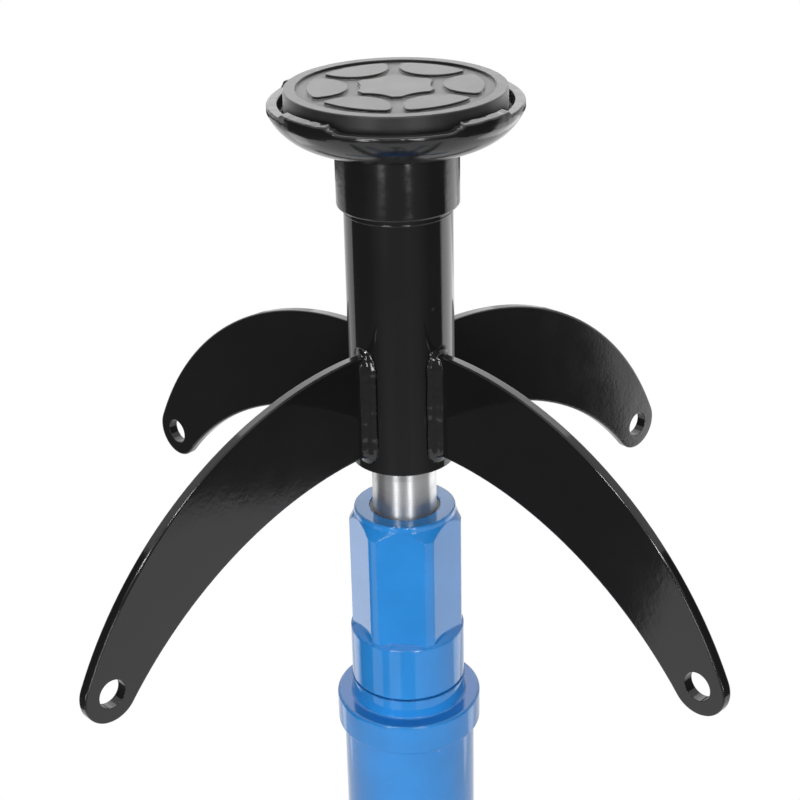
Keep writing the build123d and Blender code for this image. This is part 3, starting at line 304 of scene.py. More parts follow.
def lathe(profile, steps, shape=None):
    """Skin of a closed (radius, height) profile turned round Z; shape may move a point by its angle."""
    rings = []
    for i in range(steps):
        angle = 2 * math.pi * i / steps
        points = [shape(r, z, angle) if shape else (r, z) for r, z in profile]
        rings.append([(r * math.cos(angle), r * math.sin(angle), z) for r, z in points])
    return looped_rings(rings)


def moulded_block(outline, foot, top, edge, steps=3):
    """Upright block with a rounded upper edge, as vertices and faces."""
    rings = [[(p.x, p.y, foot) for p in outline]]
    for i in range(steps + 1):
        angle = math.pi / 2 * i / steps
        ring = inset(outline, edge * (1 - math.cos(angle)))
        height = top - edge + edge * math.sin(angle)
        rings.append([(p.x, p.y, height) for p in ring])
    return closed_rings(rings)


def new_mesh(name, verts, faces):
    """Smooth-shaded mesh object in the scene, whose broad faces stay flat."""
    mesh = bpy.data.meshes.new(name)
    mesh.from_pydata([tuple(v) for v in verts], [], faces)
    mesh.validate()
    mesh.polygons.foreach_set("use_smooth", [True] * len(mesh.polygons))
    piece = bpy.data.objects.new(name, mesh)
    bpy.context.scene.collection.objects.link(piece)
    piece.modifiers.new("flat_faces", "WEIGHTED_NORMAL").weight = 100
    return piece


def merged(name, skins):
    """One mesh object from several (vertices, faces) skins."""
    verts, faces = [], []
    for skin_verts, skin_faces in skins:
        start = len(verts)
        verts += skin_verts
        faces += [tuple(start + i for i in face) for face in skin_faces]
    return new_mesh(name, verts, faces)


def dress(piece, body, slot, material, *replaced):
    """Puts a new piece on its body, with its finish, in place of CAD nodes."""
    piece.data.materials.append(material)
    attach(piece, body)
    if replaced:
        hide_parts(*replaced)
    return piece


# Shader helpers

def put(tree, kind, inputs=None, **settings):
    """Adds a node; settings are its properties, and inputs fill its sockets with values or links."""
    node = tree.nodes.new(kind)
    for name, value in settings.items():
        setattr(node, name, value)
    for socket, value in (inputs or {}).items():
        if isinstance(value, bpy.types.NodeSocket):
            tree.links.new(value, node.inputs[socket])
        else:
            node.inputs[socket].default_value = value
    return node


def object_place(tree):
    """Place on the piece itself, in metres."""
    return put(tree, "ShaderNodeTexCoord").outputs["Object"]


def math_node(tree, operation, *values, clamp=False):
    """Output of a maths node."""
    inputs = dict(enumerate(values))
    return put(tree, "ShaderNodeMath", inputs, operation=operation, use_clamp=clamp).outputs[0]


def vector_node(tree, operation, *vectors):
    """Outputs of a vector maths node."""
    return put(tree, "ShaderNodeVectorMath", dict(enumerate(vectors)), operation=operation).outputs


def noise_node(tree, place, scale, detail, roughness=0.5):
    """Output of a noise texture."""
    inputs = {"Vector": place, "Scale": scale, "Detail": detail, "Roughness": roughness}
    return put(tree, "ShaderNodeTexNoise", inputs).outputs["Fac"]


def ramp(tree, value, start, end, low=0.0, high=1.0, **settings):
    """Value that runs from low to high while another runs from start to end."""
    inputs = {"Value": value, "From Min": start, "From Max": end, "To Min": low, "To Max": high}
    return put(tree, "ShaderNodeMapRange", inputs, **settings).outputs[0]


def mix_colour(tree, factor, first, second):
    """Colour between two colours or sockets."""
    node = put(tree, "ShaderNodeMix", {"Factor": factor}, data_type="RGBA")
    first_socket, second_socket, colour_out = node.inputs[6], node.inputs[7], node.outputs[2]
    for socket, value in ((first_socket, first), (second_socket, second)):
        if isinstance(value, bpy.types.NodeSocket):
            tree.links.new(value, socket)
        else:
            socket.default_value = (*value, 1.0)
    return colour_out


def new_group(name, inputs, outputs):
    """Empty shader group with float inputs and named outputs; returns its tree and its end sockets."""
    tree = bpy.data.node_groups.new(name, "ShaderNodeTree")
    for socket, value in inputs.items():
        entry = tree.interface.new_socket(socket, in_out="INPUT", socket_type="NodeSocketFloat")
        entry.default_value = value
    for socket, kind in outputs.items():
        tree.interface.new_socket(socket, in_out="OUTPUT", socket_type=kind)
    return tree, tree.nodes.new("NodeGroupInput").outputs, tree.nodes.new("NodeGroupOutput").inputs


def use_group(tree, group, **values):
    """Places a shared group in a material with its own values."""
    return put(tree, "ShaderNodeGroup", values, node_tree=group).outputs


def soft_edge_group():
    """Rounded normal at edges, and a broken mask of where paint is worn off them."""
    inputs = {"Radius": 0.6 * MM, "Breaks": 400.0, "Wear": 0.5, "Uneven": 0.0}
    outputs = {"Normal": "NodeSocketVector", "Worn": "NodeSocketFloat"}
    tree, given, out = new_group("soft_edge", inputs, outputs)
    breaks = noise_node(tree, object_place(tree), given["Breaks"], 4.0)
    lumps = ramp(tree, breaks, 0.45, 0.70, 0.0, given["Uneven"])
    radius = math_node(tree, "MULTIPLY", given["Radius"], math_node(tree, "ADD", lumps, 1.0))
    bevel = put(tree, "ShaderNodeBevel", {"Radius": radius}, samples=4).outputs[0]
    flat = put(tree, "ShaderNodeNewGeometry").outputs["True Normal"]
    bend = math_node(tree, "SUBTRACT", 1.0, vector_node(tree, "DOT_PRODUCT", bevel, flat)["Value"])
    edge = ramp(tree, bend, 0.006, 0.04)
    worn = math_node(tree, "MULTIPLY", edge, ramp(tree, breaks, 0.52, 0.66))
    tree.links.new(bevel, out["Normal"])
    tree.links.new(math_node(tree, "MULTIPLY", worn, given["Wear"], clamp=True), out["Worn"])
    return tree


def orange_peel_group():
    """Fine waves of sprayed paint over slow runs, as a height, and patches of dulled gloss."""
    inputs = {"Scale": 700.0, "Runs": 60.0, "Dulled": 0.1}
    outputs = {"Height": "NodeSocketFloat", "Gloss": "NodeSocketFloat"}
    tree, given, out = new_group("orange_peel", inputs, outputs)
    place = object_place(tree)
    fine = noise_node(tree, place, given["Scale"], 2.0)
    runs = noise_node(tree, place, given["Runs"], 3.0)
    slow = math_node(tree, "MULTIPLY", runs, 2.5)
    tree.links.new(math_node(tree, "ADD", fine, slow), out["Height"])
    patches = ramp(tree, runs, 0.35, 0.7)
    tree.links.new(math_node(tree, "MULTIPLY", patches, given["Dulled"]), out["Gloss"])
    return tree


def speck_group():
    """Scattered round specks, such as dust nibs and pits, as a mask."""
    inputs = {"Scale": 300.0, "Share": 0.05, "Size": 0.25}
    tree, given, out = new_group("specks", inputs, {"Mask": "NodeSocketFloat"})
    sites = {"Vector": object_place(tree), "Scale": given["Scale"]}
    cells = put(tree, "ShaderNodeTexVoronoi", sites).outputs
    pick = put(tree, "ShaderNodeSeparateColor", {0: cells["Color"]}).outputs
    chosen = math_node(tree, "LESS_THAN", pick[0], given["Share"])
    size = math_node(tree, "MULTIPLY", given["Size"], pick[1])
    inside = math_node(tree, "SUBTRACT", size, cells["Distance"])
    soft = ramp(tree, inside, 0.0, 0.06)
    tree.links.new(math_node(tree, "MULTIPLY", chosen, soft), out["Mask"])
    return tree


def ground_line_group():
    """Fine lines round the column axis, as left by grinding or turning, with slow patches."""
    inputs = {"Lines": 2500.0, "Patches": 90.0}
    outputs = {"Height": "NodeSocketFloat", "Tone": "NodeSocketFloat"}
    tree, given, out = new_group("ground_lines", inputs, outputs)
    place = object_place(tree)
    axes = put(tree, "ShaderNodeSeparateXYZ", {0: place}).outputs
    per_axis = {"X": 30.0, "Y": 30.0, "Z": given["Lines"]}
    drawn_out = {axis: math_node(tree, "MULTIPLY", axes[axis], scale) for axis, scale in per_axis.items()}
    lines = noise_node(tree, put(tree, "ShaderNodeCombineXYZ", drawn_out).outputs[0], 1.0, 3.0)
    patches = noise_node(tree, place, given["Patches"], 5.0)
    tone = ramp(tree, math_node(tree, "MULTIPLY", lines, patches), 0.1, 0.45)
    tree.links.new(lines, out["Height"])
    tree.links.new(tone, out["Tone"])
    return tree


SOFT_EDGE = soft_edge_group()
ORANGE_PEEL = orange_peel_group()
SPECKS = speck_group()
GROUND_LINES = ground_line_group()


# Finishes

def new_material(name, **plain):
    """Material whose Principled shader has its plain sockets set; returns it, its tree and its shader."""
    material = bpy.data.materials.new(name)
    material.use_nodes = True
    tree = material.node_tree
    shader = tree.nodes["Principled BSDF"]
    for socket, value in plain.items():
        shader.inputs[socket.replace("_", " ")].default_value = value
    return material, tree, shader


def finish(tree, shader, colour, roughness, height, strength, depth, normal):
    """Links a material's colour, roughness, and bump over its soft edges to its shader."""
    inputs = {"Height": height, "Strength": strength, "Distance": depth, "Normal": normal}
    bump = put(tree, "ShaderNodeBump", inputs).outputs[0]
    for socket, value in (("Base Color", colour), ("Roughness", roughness), ("Normal", bump)):
        tree.links.new(value, shader.inputs[socket])


def paint(name, colour, chip, dust, rough, dulled, wear, edge, peel, bump,
          uneven=0.0, nicks=2.0, settled=0.0):
    """Sprayed enamel: orange peel, dust nibs, soft edges with small chips, dust settled on upper faces; where
    the chip colour is paler than the paint, the chips also paint highlights along the edges.
    """
    material, tree, shader = new_material(name, Specular_IOR_Level=0.5)
    peel_scale, run_scale = peel
    waves = use_group(tree, ORANGE_PEEL, Scale=peel_scale, Runs=run_scale, Dulled=dulled)
    edges = use_group(tree, SOFT_EDGE, Radius=edge, Breaks=520.0, Wear=wear, Uneven=uneven)
    nibs = use_group(tree, SPECKS, Scale=210.0, Share=0.035, Size=0.22)["Mask"]
    tone = noise_node(tree, object_place(tree), 35.0, 4.0)
    darkest, lightest = [[c * share for c in colour] for share in PAINT_TONES]
    base = mix_colour(tree, ramp(tree, tone, 0.3, 0.7), darkest, lightest)
    dusty = mix_colour(tree, math_node(tree, "MULTIPLY", nibs, 0.35), base, dust)
    if settled:
        normal = put(tree, "ShaderNodeNewGeometry").outputs["Normal"]
        facing_up = put(tree, "ShaderNodeSeparateXYZ", {0: normal}).outputs["Z"]
        upper = ramp(tree, facing_up, 0.75, 0.97, 0.0, settled)
        dusty = mix_colour(tree, math_node(tree, "MULTIPLY", upper, tone), dusty, SETTLED_DUST)
    chipped = mix_colour(tree, edges["Worn"], dusty, chip)
    gloss = math_node(tree, "ADD", waves["Gloss"], rough)
    worn_gloss = math_node(tree, "ADD", gloss, math_node(tree, "MULTIPLY", edges["Worn"], 0.3))
    raised = math_node(tree, "ADD", waves["Height"], math_node(tree, "MULTIPLY", nibs, 1.5))
    nicked = math_node(tree, "SUBTRACT", raised, math_node(tree, "MULTIPLY", edges["Worn"], nicks))
    finish(tree, shader, chipped, worn_gloss, nicked, bump, PAINT_DEPTH, edges["Normal"])
    return material


def black_paint():
    """Gloss black of the head and its weld beads."""
    # Its pale grey chip colour along the edges is partly wear and partly a painted highlight of lit edges.
    return paint("black_paint", GLOSS_BLACK, chip=(0.10, 0.10, 0.10), dust=(0.05, 0.05, 0.05), rough=0.07,
                 dulled=0.03, wear=0.10, edge=0.5 * MM, peel=(500.0, 60.0), bump=0.035)


def cast_black_paint():
    """The same black over the rougher skin of the cast dish."""
    # Its pale grey chip colour along the edges is partly wear and partly a painted highlight of lit edges.
    return paint("cast_black_paint", GLOSS_BLACK, chip=(0.10, 0.10, 0.10), dust=(0.06, 0.06, 0.06),
                 rough=0.10, dulled=0.08, wear=0.12, edge=0.4 * MM, peel=(330.0, 75.0), bump=0.13,
                 settled=0.5)


def satin_black_paint():
    """Satin black of the two pedals, scuffed grey along its edges."""
    return paint("satin_black_paint", SATIN_BLACK, chip=(0.14, 0.14, 0.14), dust=(0.06, 0.06, 0.06),
                 rough=0.40, dulled=0.16, wear=0.6, edge=0.7 * MM, peel=(650.0, 70.0), bump=0.09, nicks=6.0)


def blue_paint():
    """Thick blue enamel of the column, tank and legs."""
    return paint("blue_paint", ENAMEL_BLUE, chip=(0.012, 0.13, 0.42), dust=(0.25, 0.42, 0.62), rough=0.05,
                 dulled=0.05, wear=0.9, edge=0.6 * MM, peel=(300.0, 45.0), bump=0.05, uneven=2.6, nicks=40.0)


def moulded_rubber(name, colour, bloom, rough):
    """Moulded rubber: fine grain, pale bloom and scuffs."""
    material, tree, shader = new_material(name, Specular_IOR_Level=0.45, Sheen_Weight=0.7,
                                          Sheen_Roughness=0.38)
    place = object_place(tree)
    grain = noise_node(tree, place, 1500.0, 3.0)
    cloud = noise_node(tree, place, 70.0, 6.0, roughness=0.65)
    nibs = use_group(tree, SPECKS, Scale=420.0, Share=0.10, Size=0.30)["Mask"]
    base = mix_colour(tree, ramp(tree, cloud, 0.40, 0.75), colour, bloom)
    dust = [2.2 * c for c in bloom]
    dusty = mix_colour(tree, math_node(tree, "MULTIPLY", nibs, 0.5), base, dust)
    gloss = ramp(tree, cloud, 0.0, 1.0, rough - 0.10, rough + 0.14)
    raised = math_node(tree, "ADD", grain, nibs)
    edges = use_group(tree, SOFT_EDGE, Radius=0.3 * MM, Breaks=600.0, Wear=0.0)
    finish(tree, shader, dusty, gloss, raised, 0.12, 0.15 * MM, edges["Normal"])
    return material


def ground_metal(name, colour, stain, rough, lines, anisotropic):
    """Bare metal with grinding lines round the axis and slow stains."""
    material, tree, shader = new_material(name, Metallic=1.0, Anisotropic=anisotropic,
                                          Anisotropic_Rotation=0.25)
    marks = use_group(tree, GROUND_LINES, Lines=lines, Patches=110.0)
    base = mix_colour(tree, math_node(tree, "MULTIPLY", marks["Tone"], 0.35), colour, stain)
    gloss = ramp(tree, marks["Tone"], 0.0, 1.0, rough * 0.8, rough * 1.25)
    edges = use_group(tree, SOFT_EDGE, Radius=0.3 * MM, Breaks=500.0, Wear=0.0)
    finish(tree, shader, base, gloss, marks["Height"], 0.06, 0.05 * MM, edges["Normal"])
    if anisotropic:
        way = put(tree, "ShaderNodeTangent", direction_type="RADIAL", axis="Z")
        tree.links.new(way.outputs[0], shader.inputs["Tangent"])
    return material


def plated_metal(name, colour, stain, rough):
    """Zinc plate: spangle patches, dull spots and soft edges."""
    material, tree, shader = new_material(name, Metallic=1.0)
    place = object_place(tree)
    spangle = put(tree, "ShaderNodeTexVoronoi", {"Vector": place, "Scale": 260.0}).outputs["Color"]
    cloud = noise_node(tree, place, 120.0, 5.0)
    pick = put(tree, "ShaderNodeSeparateColor", {0: spangle}).outputs[0]
    base = mix_colour(tree, math_node(tree, "MULTIPLY", pick, cloud), colour, stain)
    gloss = ramp(tree, cloud, 0.0, 1.0, rough - 0.08, rough + 0.16)
    edges = use_group(tree, SOFT_EDGE, Radius=0.4 * MM, Breaks=500.0, Wear=0.0)
    finish(tree, shader, base, gloss, cloud, 0.08, 0.1 * MM, edges["Normal"])
    return material


def nylon(name, colour, scuff, rough):
    """Moulded nylon: fine spark-eroded grain, scuffs on its edges."""
    material, tree, shader = new_material(name, Specular_IOR_Level=0.5)
    place = object_place(tree)
    grain = noise_node(tree, place, 1800.0, 2.0)
    cloud = noise_node(tree, place, 80.0, 5.0)
    edges = use_group(tree, SOFT_EDGE, Radius=0.8 * MM, Breaks=300.0, Wear=0.6)
    base = mix_colour(tree, edges["Worn"], colour, scuff)
    gloss = ramp(tree, cloud, 0.0, 1.0, rough - 0.1, rough + 0.15)
    finish(tree, shader, base, gloss, grain, 0.15, 0.1 * MM, edges["Normal"])
    return material


MATERIALS = {
    "black_paint": black_paint(),
    "cast_black_paint": cast_black_paint(),
    "satin_black_paint": satin_black_paint(),
    "blue_paint": blue_paint(),
    "rubber": moulded_rubber("rubber", (0.011, 0.011, 0.011), (0.022, 0.022, 0.022), 0.42),
    "chrome": ground_metal("chrome", (0.66, 0.66, 0.66), (0.40, 0.40, 0.41), 0.40, 2600.0, 0.85),
    "bronze": ground_metal("bronze", (0.60, 0.38, 0.16), (0.34, 0.20, 0.08), 0.30, 1500.0, 0.0),
    "steel": ground_metal("steel", (0.56, 0.56, 0.55), (0.30, 0.29, 0.28), 0.32, 1800.0, 0.0),
    "zinc_steel": plated_metal("zinc_steel", (0.66, 0.66, 0.64), (0.42, 0.42, 0.42), 0.34),
    "wheel_plastic": nylon("wheel_plastic", (0.016, 0.016, 0.017), (0.09, 0.09, 0.09), 0.45),
}


def finish_cad_nodes():
    """Gives every CAD node its own finish, or else that of its material slot."""
    for subpart in frame["record"]["subparts"]:
        piece = frame["nodes"][subpart["node"]]
        piece.data.materials.clear()
        finish_name = OWN_FINISH.get(subpart["node"], subpart["material_slot"])
        piece.data.materials.append(MATERIALS[finish_name])


# Head pieces

def star_outline():
    """Six-pointed tread block with hollow sides and blunt points."""
    step = 360 / PETAL_COUNT
    points = []
    for i in range(PETAL_COUNT):
        tip = step * (i + 0.5) + TREAD_TURN_DEG
        start = polar(STAR_TIP_R, tip - STAR_TIP_HALF_DEG)
        end = polar(STAR_TIP_R, tip + STAR_TIP_HALF_DEG)
        following = polar(STAR_TIP_R, tip + step - STAR_TIP_HALF_DEG)
        points += arc_through(start, polar(STAR_TIP_R, tip), end, steps=4)
        points += arc_through(end, polar(STAR_WAIST_R, tip + step / 2), following, steps=12)
    return points


def petal_outline(degrees, out_r):
    """Tread block with a bowed inner edge, blunt ends and an outer edge that follows the border."""
    def at(radius, off):
        return polar(radius, degrees + off)

    outer_end = PETAL_HALF_DEG - PETAL_BLUNT_DEG
    inner_r = out_r - PETAL_BLUNT
    corner_r = out_r - PETAL_BLUNT * PETAL_BULGE[0]
    corner = PETAL_HALF_DEG - PETAL_BLUNT_DEG * PETAL_BULGE[1]
    left_out, left_in = at(out_r, outer_end), at(inner_r, PETAL_HALF_DEG)
    right_out, right_in = at(out_r, -outer_end), at(inner_r, -PETAL_HALF_DEG)
    points = arc_through(right_out, at(out_r, 0), left_out, steps=26)
    points += arc_through(left_out, at(corner_r, corner), left_in, steps=6)
    points += arc_through(left_in, at(PETAL_IN_R, 0), right_in, steps=28)
    points += arc_through(right_in, at(corner_r, -corner), right_out, steps=6)
    return points


def saddle_pad():
    """Round rubber pad: border, star and petals stand proud of a sunk floor."""
    low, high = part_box("saddle_pad")
    radius = high.x
    floor = high.z - TREAD_DEPTH
    border = radius - PAD_BORDER
    foot_edge = [(0.0, low.z), (radius, low.z)]
    border_edges = [(radius, high.z), (border, high.z), (border, floor), (0.0, floor)]
    rounds = [0, RUBBER_EDGE, 2 * RUBBER_EDGE, RUBBER_EDGE, RUBBER_EDGE / 2, 0]
    profile = rounded_outline(foot_edge + border_edges, rounds)
    # Points along the floor keep its faces short.
    profile[-1:-1] = [Vector((STAR_WAIST_R * share, floor)) for share in (0.9, 0.5, 0.1)]
    skins = [lathe(profile, steps=160)]
    blocks = [star_outline()]
    for i in range(PETAL_COUNT):
        blocks.append(petal_outline(i * 360 / PETAL_COUNT + TREAD_TURN_DEG, border - PETAL_OUT_GAP))
    for outline in blocks:
        skins.append(moulded_block(outline, floor - BLOCK_SINK, high.z, RUBBER_EDGE))
    return dress(merged("saddle_pad_rubber", skins), "head", "rubber", MATERIALS["rubber"], "saddle_pad")


def lug_share(degrees, ends):
    """Full lug height and the share of it at an angle: each lug ends in a ragged slope."""
    for corner, middle in CORNERS.items():
        off = (degrees - middle + 180) % 360 - 180
        start, end = LUG_SPAN_DEG[corner]
        if not start - LUG_END_DEG < off < end + LUG_END_DEG:
            continue
        run_out, slope, notch = ends[(corner, off > 0)]
        depth = min(off - start, end - off)
        low = clamped((depth + run_out) / slope)
        high = clamped((depth - notch) / (slope * LUG_STEEPER))
        return LUG_H[corner], LUG_STEP * low + (1 - LUG_STEP) * eased(high)
    return 0.0, 0.0


def front_dip(degrees):
    """Drop of the rim between the two front lugs."""
    off = abs((degrees - 270 + 180) % 360 - 180)
    return FRONT_DIP * eased(clamped((DIP_HALF_DEG - off) / DIP_RAMP_DEG))


def saddle_dish():
    """Cast dish: rounded belly, flat rim with four ragged lugs, socket over the sleeve."""
    low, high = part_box("saddle_dish")
    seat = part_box("saddle_pad")[0].z
    sleeve_r = -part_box("head_tube")[0].x
    hub_r = sleeve_r + SOCKET_WALL
    bore_r = sleeve_r + SOCKET_PLAY
    outer = high.x
    inner = outer - RIM_W
    rim = seat + RIM_H
    skirt = rim - DISH_SKIRT
    neck = seat - DISH_FLOOR
    bulge = math.sqrt(0.5)
    belly_middle = (hub_r + (outer - hub_r) * bulge, skirt - (skirt - neck) * bulge)
    belly = arc_through((outer, skirt), belly_middle, (hub_r + HUB_FILLET, neck), steps=18)
    hollow = HUB_FILLET * 0.3
    fillet = arc_through((hub_r + HUB_FILLET, neck), (hub_r + hollow, neck - hollow),
                         (hub_r, neck - HUB_FILLET), steps=6)
    rim_corners = rounded_outline([(inner, seat), (inner, rim), (outer, rim), (outer, seat)],
                                  [0, RIM_ROUND * 0.7, RIM_ROUND, 0])[1:-1]
    hub_foot = rounded_outline([(hub_r, neck), (hub_r, low.z), (bore_r, low.z), (bore_r, neck)],
                               [0, HUB_ROUND, SOCKET_LIP, 0])[1:-1]
    # The walls run from the seat over the rim to the socket. Taken backwards, their faces look outwards.
    walls = [(0.0, seat), (inner, seat)] + rim_corners + belly + fillet + hub_foot
    walls += [(bore_r, neck), (0.0, neck)]
    profile = [tuple(p) for p in reversed(walls)]
    rng = random.Random(SEED)
    ends = {(corner, side): tuple(rng.uniform(*span) for span in (LUG_RUN_DEG, LUG_RAMP_DEG, LUG_NOTCH_DEG))
            for corner in CORNERS for side in (False, True)}
    ends[("front_left", True)] = LUG_LOW_END

    def shape(r, z, angle):
        """Lifts the rim into lugs and roughens its flame-cut edges."""
        if z < rim - RIM_ZONE or r < inner - MM:
            return r, z
        weight = clamped((z - rim + RIM_ZONE) / RIM_BLEND)
        degrees = math.degrees(angle)
        bearing = Vector((math.cos(angle), math.sin(angle), 0.0))
        outward = Vector((0.0, 0.0, r / MM))
        ragged = noise.noise(bearing * 12.0 + outward * 0.3) * RIM_WAVE
        ragged += noise.noise(bearing * 34.0 + outward * 0.4) * RIM_GRIT
        lug_h, share = lug_share(degrees, ends)
        lift = share * (lug_h - LUG_SHORT) - front_dip(degrees) * (1 - share)
        lift += ragged * (PLAIN_RIM_ROUGH + (1 - PLAIN_RIM_ROUGH) * share)
        lift -= share * LUG_SLOPE * clamped((r - inner) / RIM_W)
        outside = clamped((r - inner - LUG_EDGE) / LUG_EDGE)
        pull = share * LUG_PULL + max(0.0, noise.noise(bearing * 20.0)) * RIM_BITE
        return r - weight * outside * pull, z + weight * lift

    piece = merged("saddle_dish_cast", [lathe(profile, steps=540, shape=shape)])
    return dress(piece, "head", "black_paint", MATERIALS["cast_black_paint"], "saddle_dish")


def sleeve_bead():
    """Thin bead of paint round the sleeve under the dish's socket."""
    sleeve_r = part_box("head_tube")[1].x
    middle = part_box("saddle_dish")[0].z - BEAD_DROP
    foot, top = middle - BEAD_H / 2, middle + BEAD_H / 2
    sunk = sleeve_r - BEAD_SINK
    profile = arc_through((sleeve_r, foot), (sleeve_r + BEAD_PROUD, middle), (sleeve_r, top), steps=12)
    profile += [(sleeve_r, top), (sunk, top), (sunk, foot)]
    piece = merged("sleeve_bead", [lathe(profile, steps=240)])
    return dress(piece, "head", "black_paint", MATERIALS["black_paint"])


def weld_section(size):
    """Fillet section as (aside, outward) points: toes on tube and arm, a hollow face, and a sunk back."""
    wide, high = WELD_WIDE * size, WELD_HIGH * size
    face = []
    for i in range(SECTION_STEPS + 1):
        t = i / SECTION_STEPS
        sag = WELD_SAG * wide * math.sin(math.pi * t)
        face.append((wide * (1 - t) - sag, high * t - sag))
    return face + [(-WELD_SINK, high), (-WELD_SINK, -WELD_SINK), (wide * 0.5, -WELD_SINK)]


def fillet_loop(line, tube_r, degrees, full, rng):
    """Skin of a weld fillet round a (sideways, up) outline on a tube, lumpy at its upper and lower turns."""
    foot = min(p.y for p in line)
    top = max(p.y for p in line)
    dense = []
    for a, b in zip(line, line[1:] + line[:1]):
        count = max(1, round((b - a).length / WELD_STEP))
        dense += [a.lerp(b, i / count) for i in range(count)]
    offset = rng.uniform(0, 50)
    outward = polar(1.0, degrees).to_3d()
    across = Vector((-outward.y, outward.x, 0))
    rings = []
    for i, point in enumerate(dense):
        way = (dense[(i + 1) % len(dense)] - dense[i - 1]).normalized()
        aside = Vector((way.y, -way.x))
        to_top = clamped(1 - (top - point.y) / WELD_TOP_RUN)
        to_foot = clamped(1 - (point.y - foot) / WELD_FOOT_RUN)
        along = Vector((offset, point.y / WELD_WAVE, aside.x))
        size = full + WELD_SWELL * noise.noise(along) + WELD_RIPPLE * noise.noise(along * 3.1)
        size -= WELD_FOOT_THIN * to_foot + WELD_TOP_THIN * to_top
        lumpy = WELD_LUMP + WELD_TOP_LUMP * to_top + WELD_FOOT_LUMP * to_foot
        ring = []
        for j, (a, o) in enumerate(weld_section(size)):
            lump = 0.0
            if o > 0 and a > 0:
                lump = lumpy * noise.noise(Vector((offset + 3, i * 0.24, j * 0.5)))
            flat = point + aside * (a + 0.5 * lump)
            skin = math.sqrt(max(tube_r ** 2 - flat.x ** 2, 0.0))
            ring.append(outward * (skin + o + 0.7 * lump) + across * flat.x + Vector((0, 0, flat.y)))
        rings.append(ring)
    return looped_rings(rings)


def arm_welds():
    """Painted weld fillets round the roots of the four arms."""
    rng = random.Random(SEED + 1)
    sleeve_low, sleeve_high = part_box("head_tube")
    foot = sleeve_low.z + ARM_ROOT_UP
    half = ARM_T / 2
    root = rounded_plate(-half, half, foot, foot + ARM_ROOT_H, half * 0.9)
    skins = [fillet_loop(root, sleeve_high.x, degrees, ARM_WELD, rng) for degrees in CORNERS.values()]
    piece = merged("arm_weld_fillets", skins)
    return dress(piece, "head", "black_paint", MATERIALS["black_paint"], "arm_welds")


# Base pieces

def seam_bead(radius, height, leg, upward, rng):
    """Skin of a rippled weld bead round the column axis, in the corner of a wall and a flat face."""
    face = []
    for i in range(SECTION_STEPS + 1):
        t = i / SECTION_STEPS
        swell = SEAM_CROWN * leg * math.sin(math.pi * t)
        face.append((radius + leg * (1 - t) + swell, leg * t + swell))
    sunk = radius - WELD_SINK
    section = [(sunk, -WELD_SINK), (radius + leg, -WELD_SINK)] + face + [(sunk, leg)]
    way = 1 if upward else -1
    profile = [(r, height + way * z) for r, z in section]
    offset = rng.uniform(0, 50)
    ripples = round(2 * math.pi * radius / SEAM_RIPPLE)

    def shape(r, z, angle):
        """Steps the bead's face as a weld pool does."""
        over = way * (z - height)
        on_face = clamped(min(r - radius, over) / (leg * 0.4))
        x, y = math.cos(angle), math.sin(angle)
        drift = 2.0 * noise.noise(Vector((x, y, offset)) * 4.0)
        pool = 0.5 + 0.5 * math.sin(ripples * angle + drift + 1.2 * over / leg)
        uneven = noise.noise(Vector((x * 9, y * 9, offset)))
        lump = on_face * leg * (SEAM_POOL * pool + SEAM_LUMP * uneven)
        return r + lump, z + way * lump

    verts, faces = lathe(profile, ripples * SEAM_STEPS, shape)
    if not upward:
        faces = [tuple(reversed(face)) for face in faces]
    return verts, faces


def base_welds():
    """Painted weld beads on the tank's two seams, round the column in the lid, and at the handle's roots."""
    rng = random.Random(SEED + 2)
    tank_low, tank_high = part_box("tank_shell")
    lid_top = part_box("tank_lid")[1].z
    column_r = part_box("column_tube")[1].x
    bar_low, bar_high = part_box("handle_bar")
    skins = [
        seam_bead(tank_high.x, tank_low.z, TANK_FOOT_BEAD, True, rng),
        seam_bead(tank_high.x, tank_high.z, TANK_TOP_BEAD, False, rng),
        seam_bead(column_r, lid_top, COLUMN_BEAD, True, rng),
    ]
    bar_r = bar_high.x
    sides = 48
    for height in (bar_low.z + bar_r, bar_high.z - bar_r):
        root = [polar(bar_r, 360 * i / sides) + Vector((0, height)) for i in range(sides)]
        skins.append(fillet_loop(root, column_r, HANDLE_DEG, HANDLE_WELD, rng))
    return dress(merged("base_weld_beads", skins), "base", "blue_paint", MATERIALS["blue_paint"])


# Pump pieces

def pump_spring():
    """Return spring of round wire with a closed coil at each end."""
    low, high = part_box("pump_spring")
    axis_y = (low.y + high.y) / 2
    wire_r = SPRING_WIRE / 2
    foot = low.z + wire_r
    top = high.z - wire_r
    end_pitch = SPRING_WIRE + SPRING_END_GAP
    open_turns = SPRING_TURNS - 2
    pitch = (top - foot - 2 * end_pitch) / open_turns
    steps, sides = 40, 12
    rings = []
    for i in range(SPRING_TURNS * steps + 1):
        turn = i / steps
        height = foot + end_pitch * min(turn, 1.0) + pitch * min(max(turn - 1, 0.0), open_turns)
        height += end_pitch * max(turn - (SPRING_TURNS - 1), 0.0)
        out = Vector((math.cos(2 * math.pi * turn), math.sin(2 * math.pi * turn), 0))
        centre = Vector((0, axis_y, height)) + out * SPRING_R
        ring = []
        for j in range(sides):
            angle = 2 * math.pi * j / sides
            ring.append(centre + out * (math.cos(angle) * wire_r) + Vector((0, 0, math.sin(angle) * wire_r)))
        rings.append(ring)
    piece = merged("pump_spring_coil", [closed_rings(rings)])
    dress(piece, "base", "steel", MATERIALS["steel"], "pump_spring")
    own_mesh(piece)
    return piece


